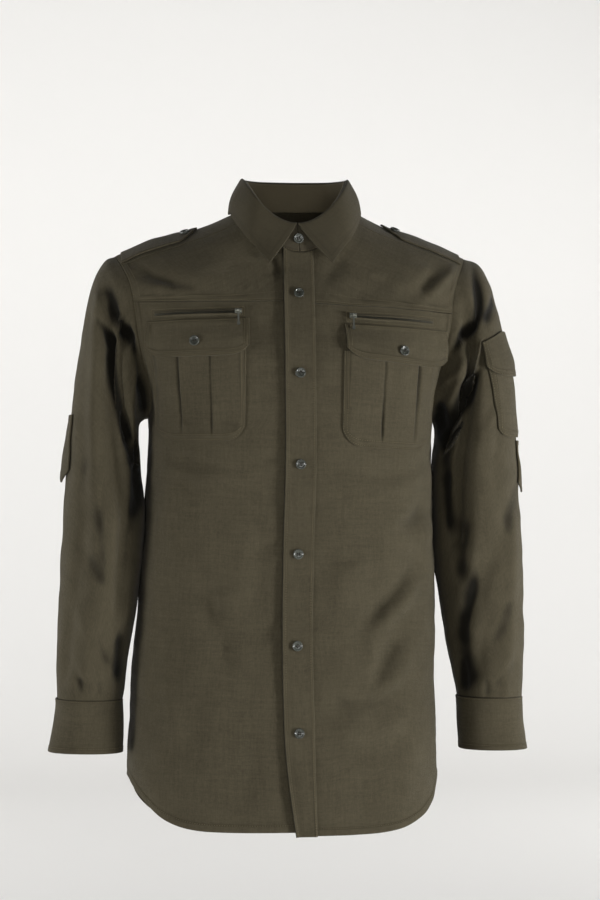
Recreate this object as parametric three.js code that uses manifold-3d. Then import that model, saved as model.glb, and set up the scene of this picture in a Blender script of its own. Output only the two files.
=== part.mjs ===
import * as THREE from 'three';
import Module from 'manifold-3d';

// Long-sleeved safari shirt, worn and filled out with nobody in it. All lengths are millimetres.
// X runs to the wearer's left, -Y to the front, +Z up. The origin is the middle of the neck
// at the height where the shoulders meet the collar. "right" and "left" are the wearer's.

const wasm = await Module();
wasm.setup();

const CLOTH = 1.4;
const TWO_PLY = 1.9;
const SEAM_GAP = 0.35;
const LAY_GAP = 0.55;

const SECTION_POWER = 2.5;
const SHOULDER_ROUND = 66;
const UNDERARM_Z = -262;
const TIP_Z = -58;
const SIDE_HEM_Z = -712;
const FRONT_HEM_RIGHT_Z = -771;
const FRONT_HEM_LEFT_Z = -775.5;
const BACK_HEM_Z = -782;
const BACK_YOKE_Z = -98;
const FRONT_LAP = 16;
const PLACKET_HALF = 19.5;

const NECK_CENTRE_X = 5;
const NECK_HALF = 68;
const NECK_BACK_Z = 4;
const NECK_DROP = 60;
const NECK_SEAM_ANGLE = 113;
const NECK_BACK_COLUMNS = 18;
const NECK_FRONT_COLUMNS = 6;

const BUTTON_RADIUS = 6.4;
const BUTTON_HEIGHT = 2.6;
const BUTTON_SIDES = 14;

const OLIVE = { colour: '#4c4639', roughness: 0.86, metalness: 0.0 };
const OLIVE_DARK = { colour: '#453f33', roughness: 0.88, metalness: 0.0 };
const BUTTON_FINISH = { colour: '#3e4440', roughness: 0.32, metalness: 0.0 };
const TAPE_FINISH = { colour: '#3a362c', roughness: 0.8, metalness: 0.0 };
const METAL_FINISH = { colour: '#9b9d98', roughness: 0.35, metalness: 1.0 };

// Body sections: height, half width, depth to the front, depth to the back, sideways shift.
const BODY = [
  [-800, 197, 125, 118, -10],
  [-680, 195.5, 124, 116, -10],
  [-600, 192.5, 122, 111, -9],
  [-520, 189, 121, 105, -6],
  [-440, 185.5, 123, 102, -3],
  [-360, 181.5, 127, 106, -1.5],
  [-302, 179.5, 130, 113, -1],
  [-262, 179, 130, 118, -0.5],
  [-235, 182, 129, 120, -0.5],
  [-190, 197, 123, 121, -0.5],
  [-150, 215, 112, 118, 0],
  [-118, 230, 101, 113, 0],
  [-95, 240, 92, 107, 0],
  [-56, 255, 74, 92, 0],
  [0, 262, 60, 62, 0],
  [60, 262, 55, 58, 0],
];

// Shoulder line: distance from the middle, height of the ridge.
const RIDGE = [
  [0, 54], [40, 34], [68, 4], [80, -3], [115, -19],
  [150, -31], [190, -45], [222, -58], [260, -75],
];

// Armhole seam: height, angle round the body section in degrees.
const ARMHOLE = [
  [-262, 90], [-258, 85.5], [-250, 81.5], [-235, 77], [-215, 74.6], [-190, 71], [-150, 63.5],
  [-118, 58], [-95, 55.6], [-75, 55.8], [-58, 57.4],
];

// Middle of the button stand: height, sideways place.
const CENTRE_FRONT = [
  [-800, 3], [-773, 2], [-650, -1.2], [-542, -3.2], [-429, -2.4],
  [-319, 0], [-208, 0], [-109, 1], [-33, 3.5], [0, 4],
];

// Large soft folds of the body: x and z of each end, half width, height out of the cloth.
const FRONT_FOLDS = [
  [138, -425, 80, -520, 15, -4],
  [118, -395, 60, -470, 18, 3],
  [126, -525, 78, -602, 15, -3.5],
  [98, -560, 60, -660, 18, 3],
  [30, -635, 120, -660, 14, -3],
  [-118, -420, -92, -545, 18, -3.5],
  [-70, -430, -84, -560, 16, 3],
  [-160, -340, -150, -640, 16, 3],
  [158, -330, 168, -560, 16, -3],
  [-190, -70, -120, -108, 12, -2.5],
  [198, -74, 140, -112, 12, -2.5],
];
const BACK_FOLDS = [
  [-120, -180, -80, -420, 22, -4],
  [118, -170, 86, -430, 22, -4],
  [-40, -330, -60, -640, 24, 4],
  [52, -340, 40, -660, 24, 4],
  [-130, -450, -120, -700, 20, 4],
  [132, -470, 124, -700, 20, 4],
  [0, -380, 6, -560, 20, -4],
];

// Sleeve rings: step, outer x and z, inner x and z, depth to the front and back, middle y.
const SLEEVE_RIGHT = [
  [0, 222, -58, 178.6, -262, 62, 68, 0],
  [1, 236, -66, 186, -265.5, 63, 68, 0],
  [2, 250, -92, 191, -271, 64, 67, 0],
  [3, 260, -136, 192, -284, 65, 66, -1],
  [4, 269, -195, 191, -304, 65, 65, -2],
  [5, 278, -262, 189, -336, 63, 64, -3],
  [6, 284.5, -345, 187.9, -386, 61, 61, -6],
  [7, 291, -462, 193.8, -470, 57, 57, -12],
  [8, 296, -559, 205.5, -556, 50, 50, -18],
  [9, 296, -612, 214, -613, 42, 42, -22],
];
const SLEEVE_LEFT = [
  [0, 222, -58, 177.6, -262, 62, 68, 0],
  [1, 242, -65, 184, -268, 64, 68, 0],
  [2, 257, -90, 187, -281, 66, 67, 0],
  [3, 268, -136, 185.5, -298, 66, 66, -1],
  [4, 279, -192, 184, -320, 65, 65, -2],
  [5, 287, -262, 183.7, -356, 63, 64, -3],
  [6, 293, -355, 185, -410, 60, 61, -6],
  [7, 297, -471, 187.4, -475, 56, 57, -12],
  [8, 296, -559, 200, -552, 50, 50, -18],
  [9, 293, -614, 211, -613, 42, 42, -22],
];
const SLEEVE_STEPS = 9;

// Sleeve folds: ring step and angle of each end, half width, height; angle 0 outside, 90 in front.
const FOLDS_RIGHT = [
  [0.3, 78, 4.1, 128, 10, -8],
  [0.6, 118, 4.6, 148, 9, 5],
  [1.6, 70, 7.2, 118, 12, -7],
  [2.2, 44, 6.6, 82, 13, 4],
  [6.4, 60, 8.6, 40, 14, -4],
  [6.2, 96, 8.6, 78, 13, 3.5],
  [2.0, -80, 6.0, -120, 14, -5],
  [6.2, -50, 8.6, -80, 14, -4],
];
const FOLDS_LEFT = [
  [0.3, 66, 3.2, 112, 10, -8],
  [2.4, 86, 3.8, 132, 9, 6],
  [3.0, 96, 6.2, 128, 11, -9],
  [4.6, 80, 6.6, 104, 12, 4],
  [6.6, 82, 8.7, 118, 13, -5],
  [6.4, 50, 8.6, 72, 14, 3.5],
  [2.0, -84, 6.0, -122, 14, -5],
  [6.2, -52, 8.6, -82, 14, -4],
];

const rad = (degrees) => (degrees * Math.PI) / 180;
const lerp = (a, b, t) => a + (b - a) * t;
const clamp = (x, low, high) => Math.min(high, Math.max(low, x));
const smooth = (x, from, to) => {
  const t = clamp((x - from) / (to - from), 0, 1);
  return t * t * (3 - 2 * t);
};
const add = (p, n, d) => [p[0] + n[0] * d, p[1] + n[1] * d, p[2] + n[2] * d];
const minus = (p, q) => [p[0] - q[0], p[1] - q[1], p[2] - q[2]];
const dot = (p, q) => p[0] * q[0] + p[1] * q[1] + p[2] * q[2];
const cross = (p, q) => [p[1] * q[2] - p[2] * q[1], p[2] * q[0] - p[0] * q[2], p[0] * q[1] - p[1] * q[0]];
const unit = (p) => {
  const size = Math.hypot(...p);
  return [p[0] / size, p[1] / size, p[2] / size];
};
const power = (x, exponent) => Math.sign(x) * Math.abs(x) ** exponent;

// Smooth curve through the rows of a table; the first column is the argument.
function curve(rows) {
  const last = rows.length - 1;
  const slope = (k, column) => {
    const a = Math.max(k - 1, 0);
    const b = Math.min(k + 1, last);
    return (rows[b][column] - rows[a][column]) / (rows[b][0] - rows[a][0]);
  };
  return (value) => {
    const x = clamp(value, rows[0][0], rows[last][0]);
    let k = 0;
    while (k < last - 1 && x > rows[k + 1][0]) k += 1;
    const step = rows[k + 1][0] - rows[k][0];
    const t = (x - rows[k][0]) / step;
    const out = [];
    for (let c = 1; c < rows[0].length; c += 1) {
      out.push(
        rows[k][c] * (1 - t) ** 2 * (1 + 2 * t) + slope(k, c) * step * t * (1 - t) ** 2
        + rows[k + 1][c] * t * t * (3 - 2 * t) - slope(k + 1, c) * step * t * t * (1 - t),
      );
    }
    return out;
  };
}

const bodyAt = curve(BODY);
const ridgeAt = curve(RIDGE);
const armholeAt = curve(ARMHOLE);
const centreFront = curve(CENTRE_FRONT);
const ridgeZ = (x) => ridgeAt(Math.abs(x - NECK_CENTRE_X * (1 - smooth(Math.abs(x), 80, 200))))[0];

// Height of a set of folds at a place: soft ridges and troughs along short lines, fading at their ends.
function foldHeight(folds, a, b, scaleA, scaleB) {
  let height = 0;
  for (const [a0, b0, a1, b1, width, rise] of folds) {
    const ua = (a1 - a0) * scaleA;
    const ub = (b1 - b0) * scaleB;
    const length = Math.hypot(ua, ub);
    const pa = (a - a0) * scaleA;
    const pb = (b - b0) * scaleB;
    const along = (pa * ua + pb * ub) / length;
    const beside = (pa * ub - pb * ua) / length;
    const over = Math.max(-along, along - length, 0);
    height += rise * Math.exp(-((beside / width) ** 2) - (over / (width * 1.4)) ** 2);
  }
  return height;
}

function roundness(s) {
  const rest = 1 - Math.max(s, 0) / SHOULDER_ROUND;
  return s >= SHOULDER_ROUND ? 1 : Math.sqrt(Math.max(0, 1 - rest ** 2));
}

// Depth of the cloth at a place seen from the front; side -1 is the front, +1 the back.
function depthAt(x, z, side) {
  const [half, front, back, shift] = bodyAt(z);
  const share = Math.min(Math.abs((x - shift) / half), 0.99999);
  const section = (1 - share ** SECTION_POWER) ** (1 / SECTION_POWER);
  const folds = side < 0 ? FRONT_FOLDS : BACK_FOLDS;
  const full = side < 0 ? front : back;
  return side * section * (full * roundness(ridgeZ(x) - z) + foldHeight(folds, x, z, 1, 1));
}

// Point of the body at an angle round it (0 in front, 90 at the wearer's left side) and a height.
function barrel(theta, z) {
  const [half, front, back, shift] = bodyAt(z);
  const x = shift + half * power(Math.sin(theta), 2 / SECTION_POWER);
  const side = Math.cos(theta) > 0 ? -1 : 1;
  const folds = side < 0 ? FRONT_FOLDS : BACK_FOLDS;
  const full = side < 0 ? front : back;
  const section = Math.abs(Math.cos(theta)) ** (2 / SECTION_POWER);
  return [x, side * section * (full * roundness(ridgeZ(x) - z) + foldHeight(folds, x, z, 1, 1)), z];
}

// Point near the shoulder: q is 0 on the ridge, negative in front and positive behind it.
const dropOf = (q) => {
  const size = Math.abs(q);
  if (size < 1) return SHOULDER_ROUND * (1 - Math.cos((size * Math.PI) / 2));
  return SHOULDER_ROUND * (1 + ((size - 1) * Math.PI) / 2);
};
const rollOf = (drop) => {
  if (drop < SHOULDER_ROUND) return Math.acos(1 - Math.max(drop, 0) / SHOULDER_ROUND) / (Math.PI / 2);
  return 1 + (drop / SHOULDER_ROUND - 1) / (Math.PI / 2);
};
function shoulder(x, q) {
  const z = ridgeZ(x) - dropOf(q);
  const size = Math.min(Math.abs(q), 1);
  const [half, front, back, shift] = bodyAt(z);
  const share = Math.min(Math.abs((x - shift) / half), 0.99999);
  const section = (1 - share ** SECTION_POWER) ** (1 / SECTION_POWER);
  const side = q < 0 ? -1 : 1;
  const folds = side < 0 ? FRONT_FOLDS : BACK_FOLDS;
  const full = side < 0 ? front : back;
  const roll = Math.sin((size * Math.PI) / 2);
  return [x, side * section * (full * roll + foldHeight(folds, x, z, 1, 1) * size), z];
}
const frontPoint = (x, z) => [x, depthAt(x, z, -1), z];

// Outward unit normal of a surface, by small steps; "inside" gives a point on its inner side.
function normalOf(surface, a, b, stepA, stepB, inside) {
  const da = minus(surface(a + stepA, b), surface(a - stepA, b));
  const db = minus(surface(a, b + stepB), surface(a, b - stepB));
  const n = unit(cross(da, db));
  const p = surface(a, b);
  return dot(n, minus(p, inside(p))) < 0 ? [-n[0], -n[1], -n[2]] : n;
}
const bodyInside = (p) => [p[0] * 0.5, 0, p[2] - 60];
const barrelNormal = (theta, z) => normalOf(barrel, theta, z, 0.004, 1.5, bodyInside);
const shoulderNormal = (x, q) => normalOf(shoulder, x, q, 1.5, 0.02, bodyInside);
const frontNormal = (x, z) => normalOf(frontPoint, x, z, 1.5, 1.5, bodyInside);

const parts = new THREE.Group();
parts.name = 'safari_shirt';

// Adds one closed mesh made from points and triangles, facing outwards.
function addMesh(name, points, faces, finish) {
  let volume = 0;
  for (const [a, b, c] of faces) volume += dot(points[a], cross(points[b], points[c]));
  const order = volume < 0 ? faces.map(([a, b, c]) => [a, c, b]) : faces;
  const geometry = new THREE.BufferGeometry();
  geometry.setAttribute('position', new THREE.Float32BufferAttribute(points.flat(), 3));
  geometry.setIndex(order.flat());
  geometry.computeVertexNormals();
  const material = new THREE.MeshStandardMaterial({
    color: finish.colour,
    roughness: finish.roughness,
    metalness: finish.metalness,
  });
  const mesh = new THREE.Mesh(geometry, material);
  mesh.name = name;
  parts.add(mesh);
  return mesh;
}

// Cloth wall on a grid: at(i, j) gives the place p and normal n; "from" and "to" are heights off it.
function wall(name, rows, columns, at, from, to, finish, wrap = false) {
  const points = [];
  const faces = [];
  const across = wrap ? columns : columns + 1;
  const count = (rows + 1) * across;
  for (const height of [to, from]) {
    for (let i = 0; i <= rows; i += 1) {
      for (let j = 0; j < across; j += 1) {
        const { p, n } = at(i, j);
        points.push(add(p, n, typeof height === 'function' ? height(i, j) : height));
      }
    }
  }
  const id = (layer, i, j) => layer * count + i * across + (wrap ? j % columns : j);
  const quad = (a, b, c, d) => faces.push([a, b, c], [a, c, d]);
  for (let i = 0; i < rows; i += 1) {
    for (let j = 0; j < columns; j += 1) {
      quad(id(0, i, j), id(0, i, j + 1), id(0, i + 1, j + 1), id(0, i + 1, j));
      quad(id(1, i, j), id(1, i + 1, j), id(1, i + 1, j + 1), id(1, i, j + 1));
    }
  }
  for (let j = 0; j < columns; j += 1) {
    quad(id(0, 0, j), id(1, 0, j), id(1, 0, j + 1), id(0, 0, j + 1));
    quad(id(0, rows, j), id(0, rows, j + 1), id(1, rows, j + 1), id(1, rows, j));
  }
  if (!wrap) {
    for (let i = 0; i < rows; i += 1) {
      quad(id(0, i, 0), id(0, i + 1, 0), id(1, i + 1, 0), id(1, i, 0));
      quad(id(0, i, columns), id(1, i, columns), id(1, i + 1, columns), id(0, i + 1, columns));
    }
  }
  return addMesh(name, points, faces, finish);
}

// Neck seam: angle 0 at the back, 180 in front, positive to the wearer's left.
function neckPlace(psi) {
  const forward = Math.max(-Math.cos(psi), 0);
  return [NECK_CENTRE_X + NECK_HALF * Math.sin(psi), NECK_BACK_Z - NECK_DROP * forward ** 1.8];
}
function neckRoll(psi) {
  const [x, z] = neckPlace(psi);
  return [x, Math.sign(Math.cos(psi)) * rollOf(ridgeZ(x) - z)];
}

const FORWARD_SEAM = neckRoll((NECK_SEAM_ANGLE * Math.PI) / 180)[1];
const NECK_FRONT_STEP = (180 - NECK_SEAM_ANGLE) / NECK_FRONT_COLUMNS;
const seamZ = (x) => (x > 0 ? -121 - 10 * (Math.abs(x) / 200) ** 1.5 : -118.5);
const edgeAngle = (z, trim) => rad(armholeAt(Math.min(z + trim, TIP_Z))[0]) - (trim ? trim / 150 : 0);
const edgeX = (z, trim) => {
  const [half, , , shift] = bodyAt(z);
  return shift + half * Math.sin(edgeAngle(z, 0)) ** (2 / SECTION_POWER) - trim;
};
// Place on the armhole seam at a roll q over the shoulder; hand is +1 left, -1 right.
function armholeRoll(q, hand, trim) {
  let x = 222;
  for (let k = 0; k < 12; k += 1) {
    const z = ridgeZ(x) - dropOf(q);
    const [half, , , shift] = bodyAt(z);
    x = hand * shift + half * Math.sin(edgeAngle(Math.min(z, TIP_Z), 0)) ** (2 / SECTION_POWER);
  }
  return hand * (x - trim);
}
function rollAtHeight(z, hand, sign) {
  const x = edgeX(z, 0);
  return sign * rollOf(ridgeZ(hand * x) - z);
}

const YOKE_OVER_ROWS = 3;
const YOKE_BACK_ROWS = 6;
const YOKE_FRONT_ROWS = 7;
const ARM_FRONT_DROPS = [0.1, 0.24, 0.4, 0.57, 0.74, 0.87, 0.96, 1];
const ARM_BACK_DROPS = [0.12, 0.27, 0.42, 0.58, 0.74, 0.87, 0.96, 1];
const SIDE_ROWS = 8;

// Vertices that a sleeve and the body share round one armhole: down in front, then up behind.
function armholeRing(hand) {
  const ring = [];
  const onShoulder = (q) => {
    const x = armholeRoll(q, hand, 0);
    ring.push({ p: shoulder(x, q), n: shoulderNormal(x, q) });
  };
  const onBarrel = (z, front) => {
    const angle = edgeAngle(z, 0);
    const theta = hand * (front ? angle : Math.PI - angle);
    ring.push({ p: barrel(theta, z), n: barrelNormal(theta, z) });
  };
  const frontSeam = seamZ(hand * 200);
  const qFront = rollAtHeight(frontSeam, hand, -1);
  const qBack = rollAtHeight(BACK_YOKE_Z, hand, 1);
  for (let k = 0; k <= YOKE_OVER_ROWS; k += 1) onShoulder((FORWARD_SEAM * k) / YOKE_OVER_ROWS);
  for (let k = 1; k <= YOKE_FRONT_ROWS; k += 1) onShoulder(lerp(FORWARD_SEAM, qFront, k / YOKE_FRONT_ROWS));
  const underarm = ring.length + ARM_FRONT_DROPS.length - 1;
  for (const drop of ARM_FRONT_DROPS) onBarrel(lerp(frontSeam, UNDERARM_Z, drop), true);
  for (const drop of [...ARM_BACK_DROPS].reverse().slice(1)) {
    onBarrel(lerp(BACK_YOKE_Z, UNDERARM_Z, drop), false);
  }
  for (let k = YOKE_BACK_ROWS; k >= 1; k -= 1) onShoulder((qBack * k) / YOKE_BACK_ROWS);
  const reach = [0];
  for (let k = 1; k <= ring.length; k += 1) {
    reach.push(reach[k - 1] + Math.hypot(...minus(ring[k % ring.length].p, ring[k - 1].p)));
  }
  ring.forEach((vertex, k) => {
    const down = reach[k] / reach[underarm];
    const up = (reach[k] - reach[underarm]) / (reach[ring.length] - reach[underarm]);
    vertex.phi = k <= underarm ? Math.PI * down : Math.PI * (1 + up);
  });
  return ring;
}

function frontPanel(hand) {
  const name = hand < 0 ? 'front_right' : 'front_left';
  const columns = 11;
  const hemZ = hand < 0 ? FRONT_HEM_RIGHT_Z : FRONT_HEM_LEFT_Z;
  const topEdge = seamZ(hand * 200);
  const heights = [
    topEdge,
    ...ARM_FRONT_DROPS.slice(0, -1).map((drop) => lerp(topEdge, UNDERARM_Z, drop)),
    UNDERARM_Z - SEAM_GAP,
  ];
  for (let k = 1; k <= SIDE_ROWS; k += 1) heights.push(lerp(UNDERARM_Z, SIDE_HEM_Z, k / SIDE_ROWS));
  const at = (i, j) => {
    const share = (heights[i] - topEdge) / (SIDE_HEM_Z - topEdge);
    const outer = heights[i] > UNDERARM_Z ? edgeAngle(heights[i], SEAM_GAP) : rad(90) - 0.0012;
    const level = lerp(seamZ(0), hemZ, share);
    const [half, , , shift] = bodyAt(level);
    const middle = centreFront(level)[0] + FRONT_LAP + hand * 0.2;
    const inner = Math.asin(clamp(power(((middle - shift) / half), SECTION_POWER / 2), -1, 1));
    const theta = lerp(inner, hand * outer, j / columns);
    const x = barrel(theta, heights[i])[0];
    const side = Math.abs(Math.sin(theta)) ** 5;
    const rise = hand < 0 ? 60 : 44;
    const hem = hemZ + rise * side + (SIDE_HEM_Z - hemZ - rise) * side ** 4;
    const z = j === columns ? heights[i] : lerp(seamZ(x) - 0.2, hem, share);
    return { p: barrel(theta, z), n: barrelNormal(theta, z) };
  };
  wall(name, heights.length - 1, columns, at, -CLOTH, 0, OLIVE);
}

function backPanel() {
  const columns = 20;
  const heights = [
    BACK_YOKE_Z,
    ...ARM_BACK_DROPS.slice(0, -1).map((drop) => lerp(BACK_YOKE_Z, UNDERARM_Z, drop)),
    UNDERARM_Z - SEAM_GAP,
  ];
  for (let k = 1; k <= SIDE_ROWS; k += 1) heights.push(lerp(UNDERARM_Z, SIDE_HEM_Z, k / SIDE_ROWS));
  const at = (i, j) => {
    const share = (heights[i] - BACK_YOKE_Z) / (SIDE_HEM_Z - BACK_YOKE_Z);
    const outer = heights[i] > UNDERARM_Z ? edgeAngle(heights[i], SEAM_GAP) : rad(90) - 0.0012;
    const theta = lerp(Math.PI - outer, Math.PI + outer, j / columns);
    const side = Math.abs(Math.sin(theta)) ** 6;
    const hem = lerp(BACK_HEM_Z, SIDE_HEM_Z, side);
    const edge = j === 0 || j === columns;
    const z = edge ? heights[i] : lerp(BACK_YOKE_Z - 0.2, hem, share);
    return { p: barrel(theta, z), n: barrelNormal(theta, z) };
  };
  wall('back', heights.length - 1, columns, at, -CLOTH, 0, OLIVE);
}

function frontYoke(hand) {
  const name = hand < 0 ? 'yoke_front_right' : 'yoke_front_left';
  const columns = 7;
  const start = FORWARD_SEAM - 0.002;
  const neckRows = 5;
  const seamRoll = (x) => -rollOf(ridgeZ(x) - (seamZ(x) + 0.2));
  const innerPlace = (row) => {
    if (row <= neckRows) {
      const psi = rad(NECK_SEAM_ANGLE + NECK_FRONT_STEP * row);
      const [x, q] = neckRoll(hand * psi);
      return row === 0 ? [x, start] : [x, q];
    }
    const share = (row - neckRows) / (YOKE_FRONT_ROWS - neckRows);
    const x = centreFront(-60)[0] + FRONT_LAP + hand * 0.2;
    const edgePsi = Math.PI - hand * Math.asin((x - NECK_CENTRE_X) / NECK_HALF);
    const neckZ = neckPlace(edgePsi)[1];
    const z = lerp(neckZ, seamZ(x) + 0.2, share);
    return [x, -rollOf(ridgeZ(x) - z)];
  };
  const qEdge = rollAtHeight(seamZ(hand * 200), hand, -1);
  const at = (i, j) => {
    const u = j / columns;
    const v = i / YOKE_FRONT_ROWS;
    const shared = lerp(FORWARD_SEAM, qEdge, v) - (i === 0 ? 0.002 : 0);
    const edgeRoll = i === YOKE_FRONT_ROWS ? qEdge + 0.002 : shared;
    const xOut = armholeRoll(edgeRoll, hand, SEAM_GAP);
    const [xIn, qIn] = innerPlace(i);
    const x = lerp(xIn, xOut, u);
    const inFix = qIn - lerp(start, seamRoll(xIn), v);
    const outFix = edgeRoll - lerp(start, seamRoll(xOut), v);
    const q = lerp(start, seamRoll(x), v) + inFix * (1 - u) ** 1.5 + outFix * u ** 3;
    return { p: shoulder(x, q), n: shoulderNormal(x, q) };
  };
  wall(name, YOKE_FRONT_ROWS, columns, at, -CLOTH, 0, OLIVE);
}

function backYoke() {
  const shoulderColumns = 6;
  const neckColumns = NECK_BACK_COLUMNS;
  const columns = shoulderColumns * 2 + neckColumns;
  const rows = YOKE_OVER_ROWS + YOKE_BACK_ROWS;
  const end = FORWARD_SEAM + 0.002;
  const backRoll = (x) => rollOf(ridgeZ(x) - (BACK_YOKE_Z + 0.2));
  const neckAt = (j) => {
    const share = (j - shoulderColumns) / neckColumns;
    return neckRoll(rad(lerp(-NECK_SEAM_ANGLE, NECK_SEAM_ANGLE, share)));
  };
  const topPlace = (j) => {
    const [xFirst] = neckAt(shoulderColumns);
    const [xLast] = neckAt(shoulderColumns + neckColumns);
    if (j <= shoulderColumns) {
      return [lerp(armholeRoll(end, -1, SEAM_GAP), xFirst, j / shoulderColumns), end];
    }
    if (j >= columns - shoulderColumns) {
      const outward = (j - columns + shoulderColumns) / shoulderColumns;
      return [lerp(xLast, armholeRoll(end, 1, SEAM_GAP), outward), end];
    }
    return neckAt(j);
  };
  const bottomPlace = (j) => {
    const edge = edgeX(BACK_YOKE_Z, SEAM_GAP);
    const spread = 106;
    let x = lerp(-spread, spread, (j - shoulderColumns) / neckColumns);
    if (j <= shoulderColumns) x = lerp(-edge, -spread, j / shoulderColumns);
    if (j >= columns - shoulderColumns) {
      x = lerp(spread, edge, (j - columns + shoulderColumns) / shoulderColumns);
    }
    return [x, backRoll(x)];
  };
  const at = (i, j) => {
    const [xTop, qTop] = topPlace(j);
    const [xLow, qLow] = bottomPlace(j);
    const back = i <= YOKE_BACK_ROWS;
    const level = back ? 1 - i / YOKE_BACK_ROWS : -(i - YOKE_BACK_ROWS) / YOKE_OVER_ROWS;
    const edgeRoll = back ? level * rollAtHeight(BACK_YOKE_Z, 1, 1) : level * -end;
    const crossing = qTop < 0 ? qLow / (qLow - qTop) : YOKE_BACK_ROWS / rows;
    const overShare = (i - YOKE_BACK_ROWS) / YOKE_OVER_ROWS;
    const bent = back ? (i / YOKE_BACK_ROWS) * crossing : crossing + overShare * (1 - crossing);
    const inward = Math.min(j, columns - j) - shoulderColumns;
    const share = lerp(bent, i / rows, clamp(inward / 5, 0, 1));
    const near = clamp(Math.min(j, columns - j) / shoulderColumns, 0, 1);
    const hand = j < columns / 2 ? -1 : 1;
    const straight = lerp(xLow, xTop, i / rows);
    const end0 = hand < 0 ? 0 : columns;
    const plain = lerp(bottomPlace(end0)[0], topPlace(end0)[0], i / rows);
    const x = straight + (armholeRoll(edgeRoll, hand, SEAM_GAP) - plain) * (1 - near);
    const overRoll = back ? level * qLow : level * -end;
    const neckRollShare = lerp(qLow, qTop, share);
    const q = lerp(overRoll, neckRollShare, near < 1 ? 0 : 1);
    return { p: shoulder(x, q), n: shoulderNormal(x, q) };
  };
  wall('back_yoke', rows, columns, at, -CLOTH, 0, OLIVE);
}

// Sleeve surface: step along the arm, angle round it, and the armhole vertices it starts from.
function sleeveSurface(hand) {
  const table = curve(hand < 0 ? SLEEVE_RIGHT : SLEEVE_LEFT);
  const folds = hand < 0 ? FOLDS_RIGHT : FOLDS_LEFT;
  return (step, phi) => {
    const [ox, oz, ix, iz, deepFront, deepBack, middle] = table(step);
    const c = power(Math.cos(phi), 0.92);
    const s = power(Math.sin(phi), 0.92);
    const degrees = ((phi * 180) / Math.PI + 180) % 360 - 180;
    const fade = smooth(step, 0, 1) * (1 - smooth(step, SLEEVE_STEPS - 0.7, SLEEVE_STEPS));
    const rise = foldHeight(folds, step, degrees, 66, 1) * fade;
    const swell = 1 + rise / 56;
    return [
      hand * ((ox + ix) / 2 + ((ox - ix) / 2) * c * swell),
      middle - (s > 0 ? deepFront : deepBack) * s * swell,
      (oz + iz) / 2 + ((oz - iz) / 2) * c * swell,
    ];
  };
}
function sleeveInside(hand) {
  const table = curve(hand < 0 ? SLEEVE_RIGHT : SLEEVE_LEFT);
  return (step) => {
    const [ox, oz, ix, iz, , , middle] = table(step);
    return [(hand * (ox + ix)) / 2, middle, (oz + iz) / 2];
  };
}
function sleeveNormal(hand, step, phi) {
  const surface = sleeveSurface(hand);
  const centre = sleeveInside(hand)(step);
  return normalOf(surface, step, phi, 0.02, 0.02, () => centre);
}

const SLEEVE_ROWS = [0, 0.35, 0.8, 1.4, 2, 2.7, 3.4, 4.1, 4.8, 5.6, 6.4, 7.1, 7.8, 8.4, 9];
function sleeve(hand) {
  const name = hand < 0 ? 'sleeve_right' : 'sleeve_left';
  const surface = sleeveSurface(hand);
  const ring = armholeRing(hand);
  const at = (i, j) => {
    const step = SLEEVE_ROWS[i];
    const { p, n, phi } = ring[j];
    if (i === 0) return { p, n };
    const fade = clamp(1 - step / 2.4, 0, 1) ** 2;
    const start = surface(0, phi);
    const base = surface(step, phi);
    return { p: add(base, minus(p, start), fade), n: sleeveNormal(hand, step, phi) };
  };
  wall(name, SLEEVE_ROWS.length - 1, ring.length, at, -CLOTH, 0, OLIVE, true);
}

// Cuff sections: height below the sleeve seam, outer x, inner x, depth, middle y.
const CUFF_RIGHT = [[0, 296, 214, 42, -22], [30, 299, 213, 40, -23], [66, 305.5, 214, 38, -24]];
const CUFF_LEFT = [[0, 293, 211, 42, -22], [30, 295, 212, 40, -23], [66, 299.5, 214.5, 38, -24]];
const CUFF_LAP = 20;
function cuffSurface(hand) {
  const table = curve(hand < 0 ? CUFF_RIGHT : CUFF_LEFT);
  return (down, phi) => {
    const [outer, inner, deep, middle] = table(down);
    const top = hand < 0 ? [-612, -613] : [-614, -613];
    const c = power(Math.cos(phi), 0.92);
    const s = power(Math.sin(phi), 0.92);
    const seam = (top[0] + top[1]) / 2 + ((top[0] - top[1]) / 2) * c;
    return [hand * ((outer + inner) / 2 + ((outer - inner) / 2) * c), middle - deep * s, seam - 0.5 - down];
  };
}
function cuff(hand) {
  const name = hand < 0 ? 'cuff_right' : 'cuff_left';
  const columns = 30;
  const rows = 3;
  const surface = cuffSurface(hand);
  const start = rad(-104);
  const turn = Math.PI * 2 + rad(CUFF_LAP);
  const lift = (j) => {
    const past = (j / columns) * turn - (Math.PI * 2 - rad(46));
    return smooth(past, 0, rad(38)) * (TWO_PLY + 0.9);
  };
  const at = (i, j) => {
    const phi = start + (j / columns) * turn;
    const down = (66 * i) / rows;
    const table = sleeveInside(hand)(SLEEVE_STEPS);
    const inside = (p) => [table[0], table[1], p[2]];
    return { p: surface(down, phi), n: normalOf(surface, down, phi, 0.5, 0.02, inside) };
  };
  wall(name, rows, columns, at, (i, j) => lift(j) - 1.0, (i, j) => lift(j) + TWO_PLY - 1.0, OLIVE);
}

function placket() {
  const heights = [
    -57.5, -75, -95, -112, -130, -155, -180, -208, -240, -275, -310, -345,
    -380, -415, -450, -490, -530, -570, -610, -650, -690, -730, -776.5,
  ];
  const columns = 4;
  const at = (i, j) => {
    const z = heights[i];
    const x = centreFront(z)[0] + lerp(-PLACKET_HALF, PLACKET_HALF, j / columns);
    const height = i === 0 ? neckPlace(Math.PI - Math.asin((x - NECK_CENTRE_X) / NECK_HALF))[1] - 0.4 : z;
    return { p: frontPoint(x, height), n: frontNormal(x, height) };
  };
  wall('placket', heights.length - 1, columns, at, LAY_GAP, LAY_GAP + TWO_PLY, OLIVE);
}

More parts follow.
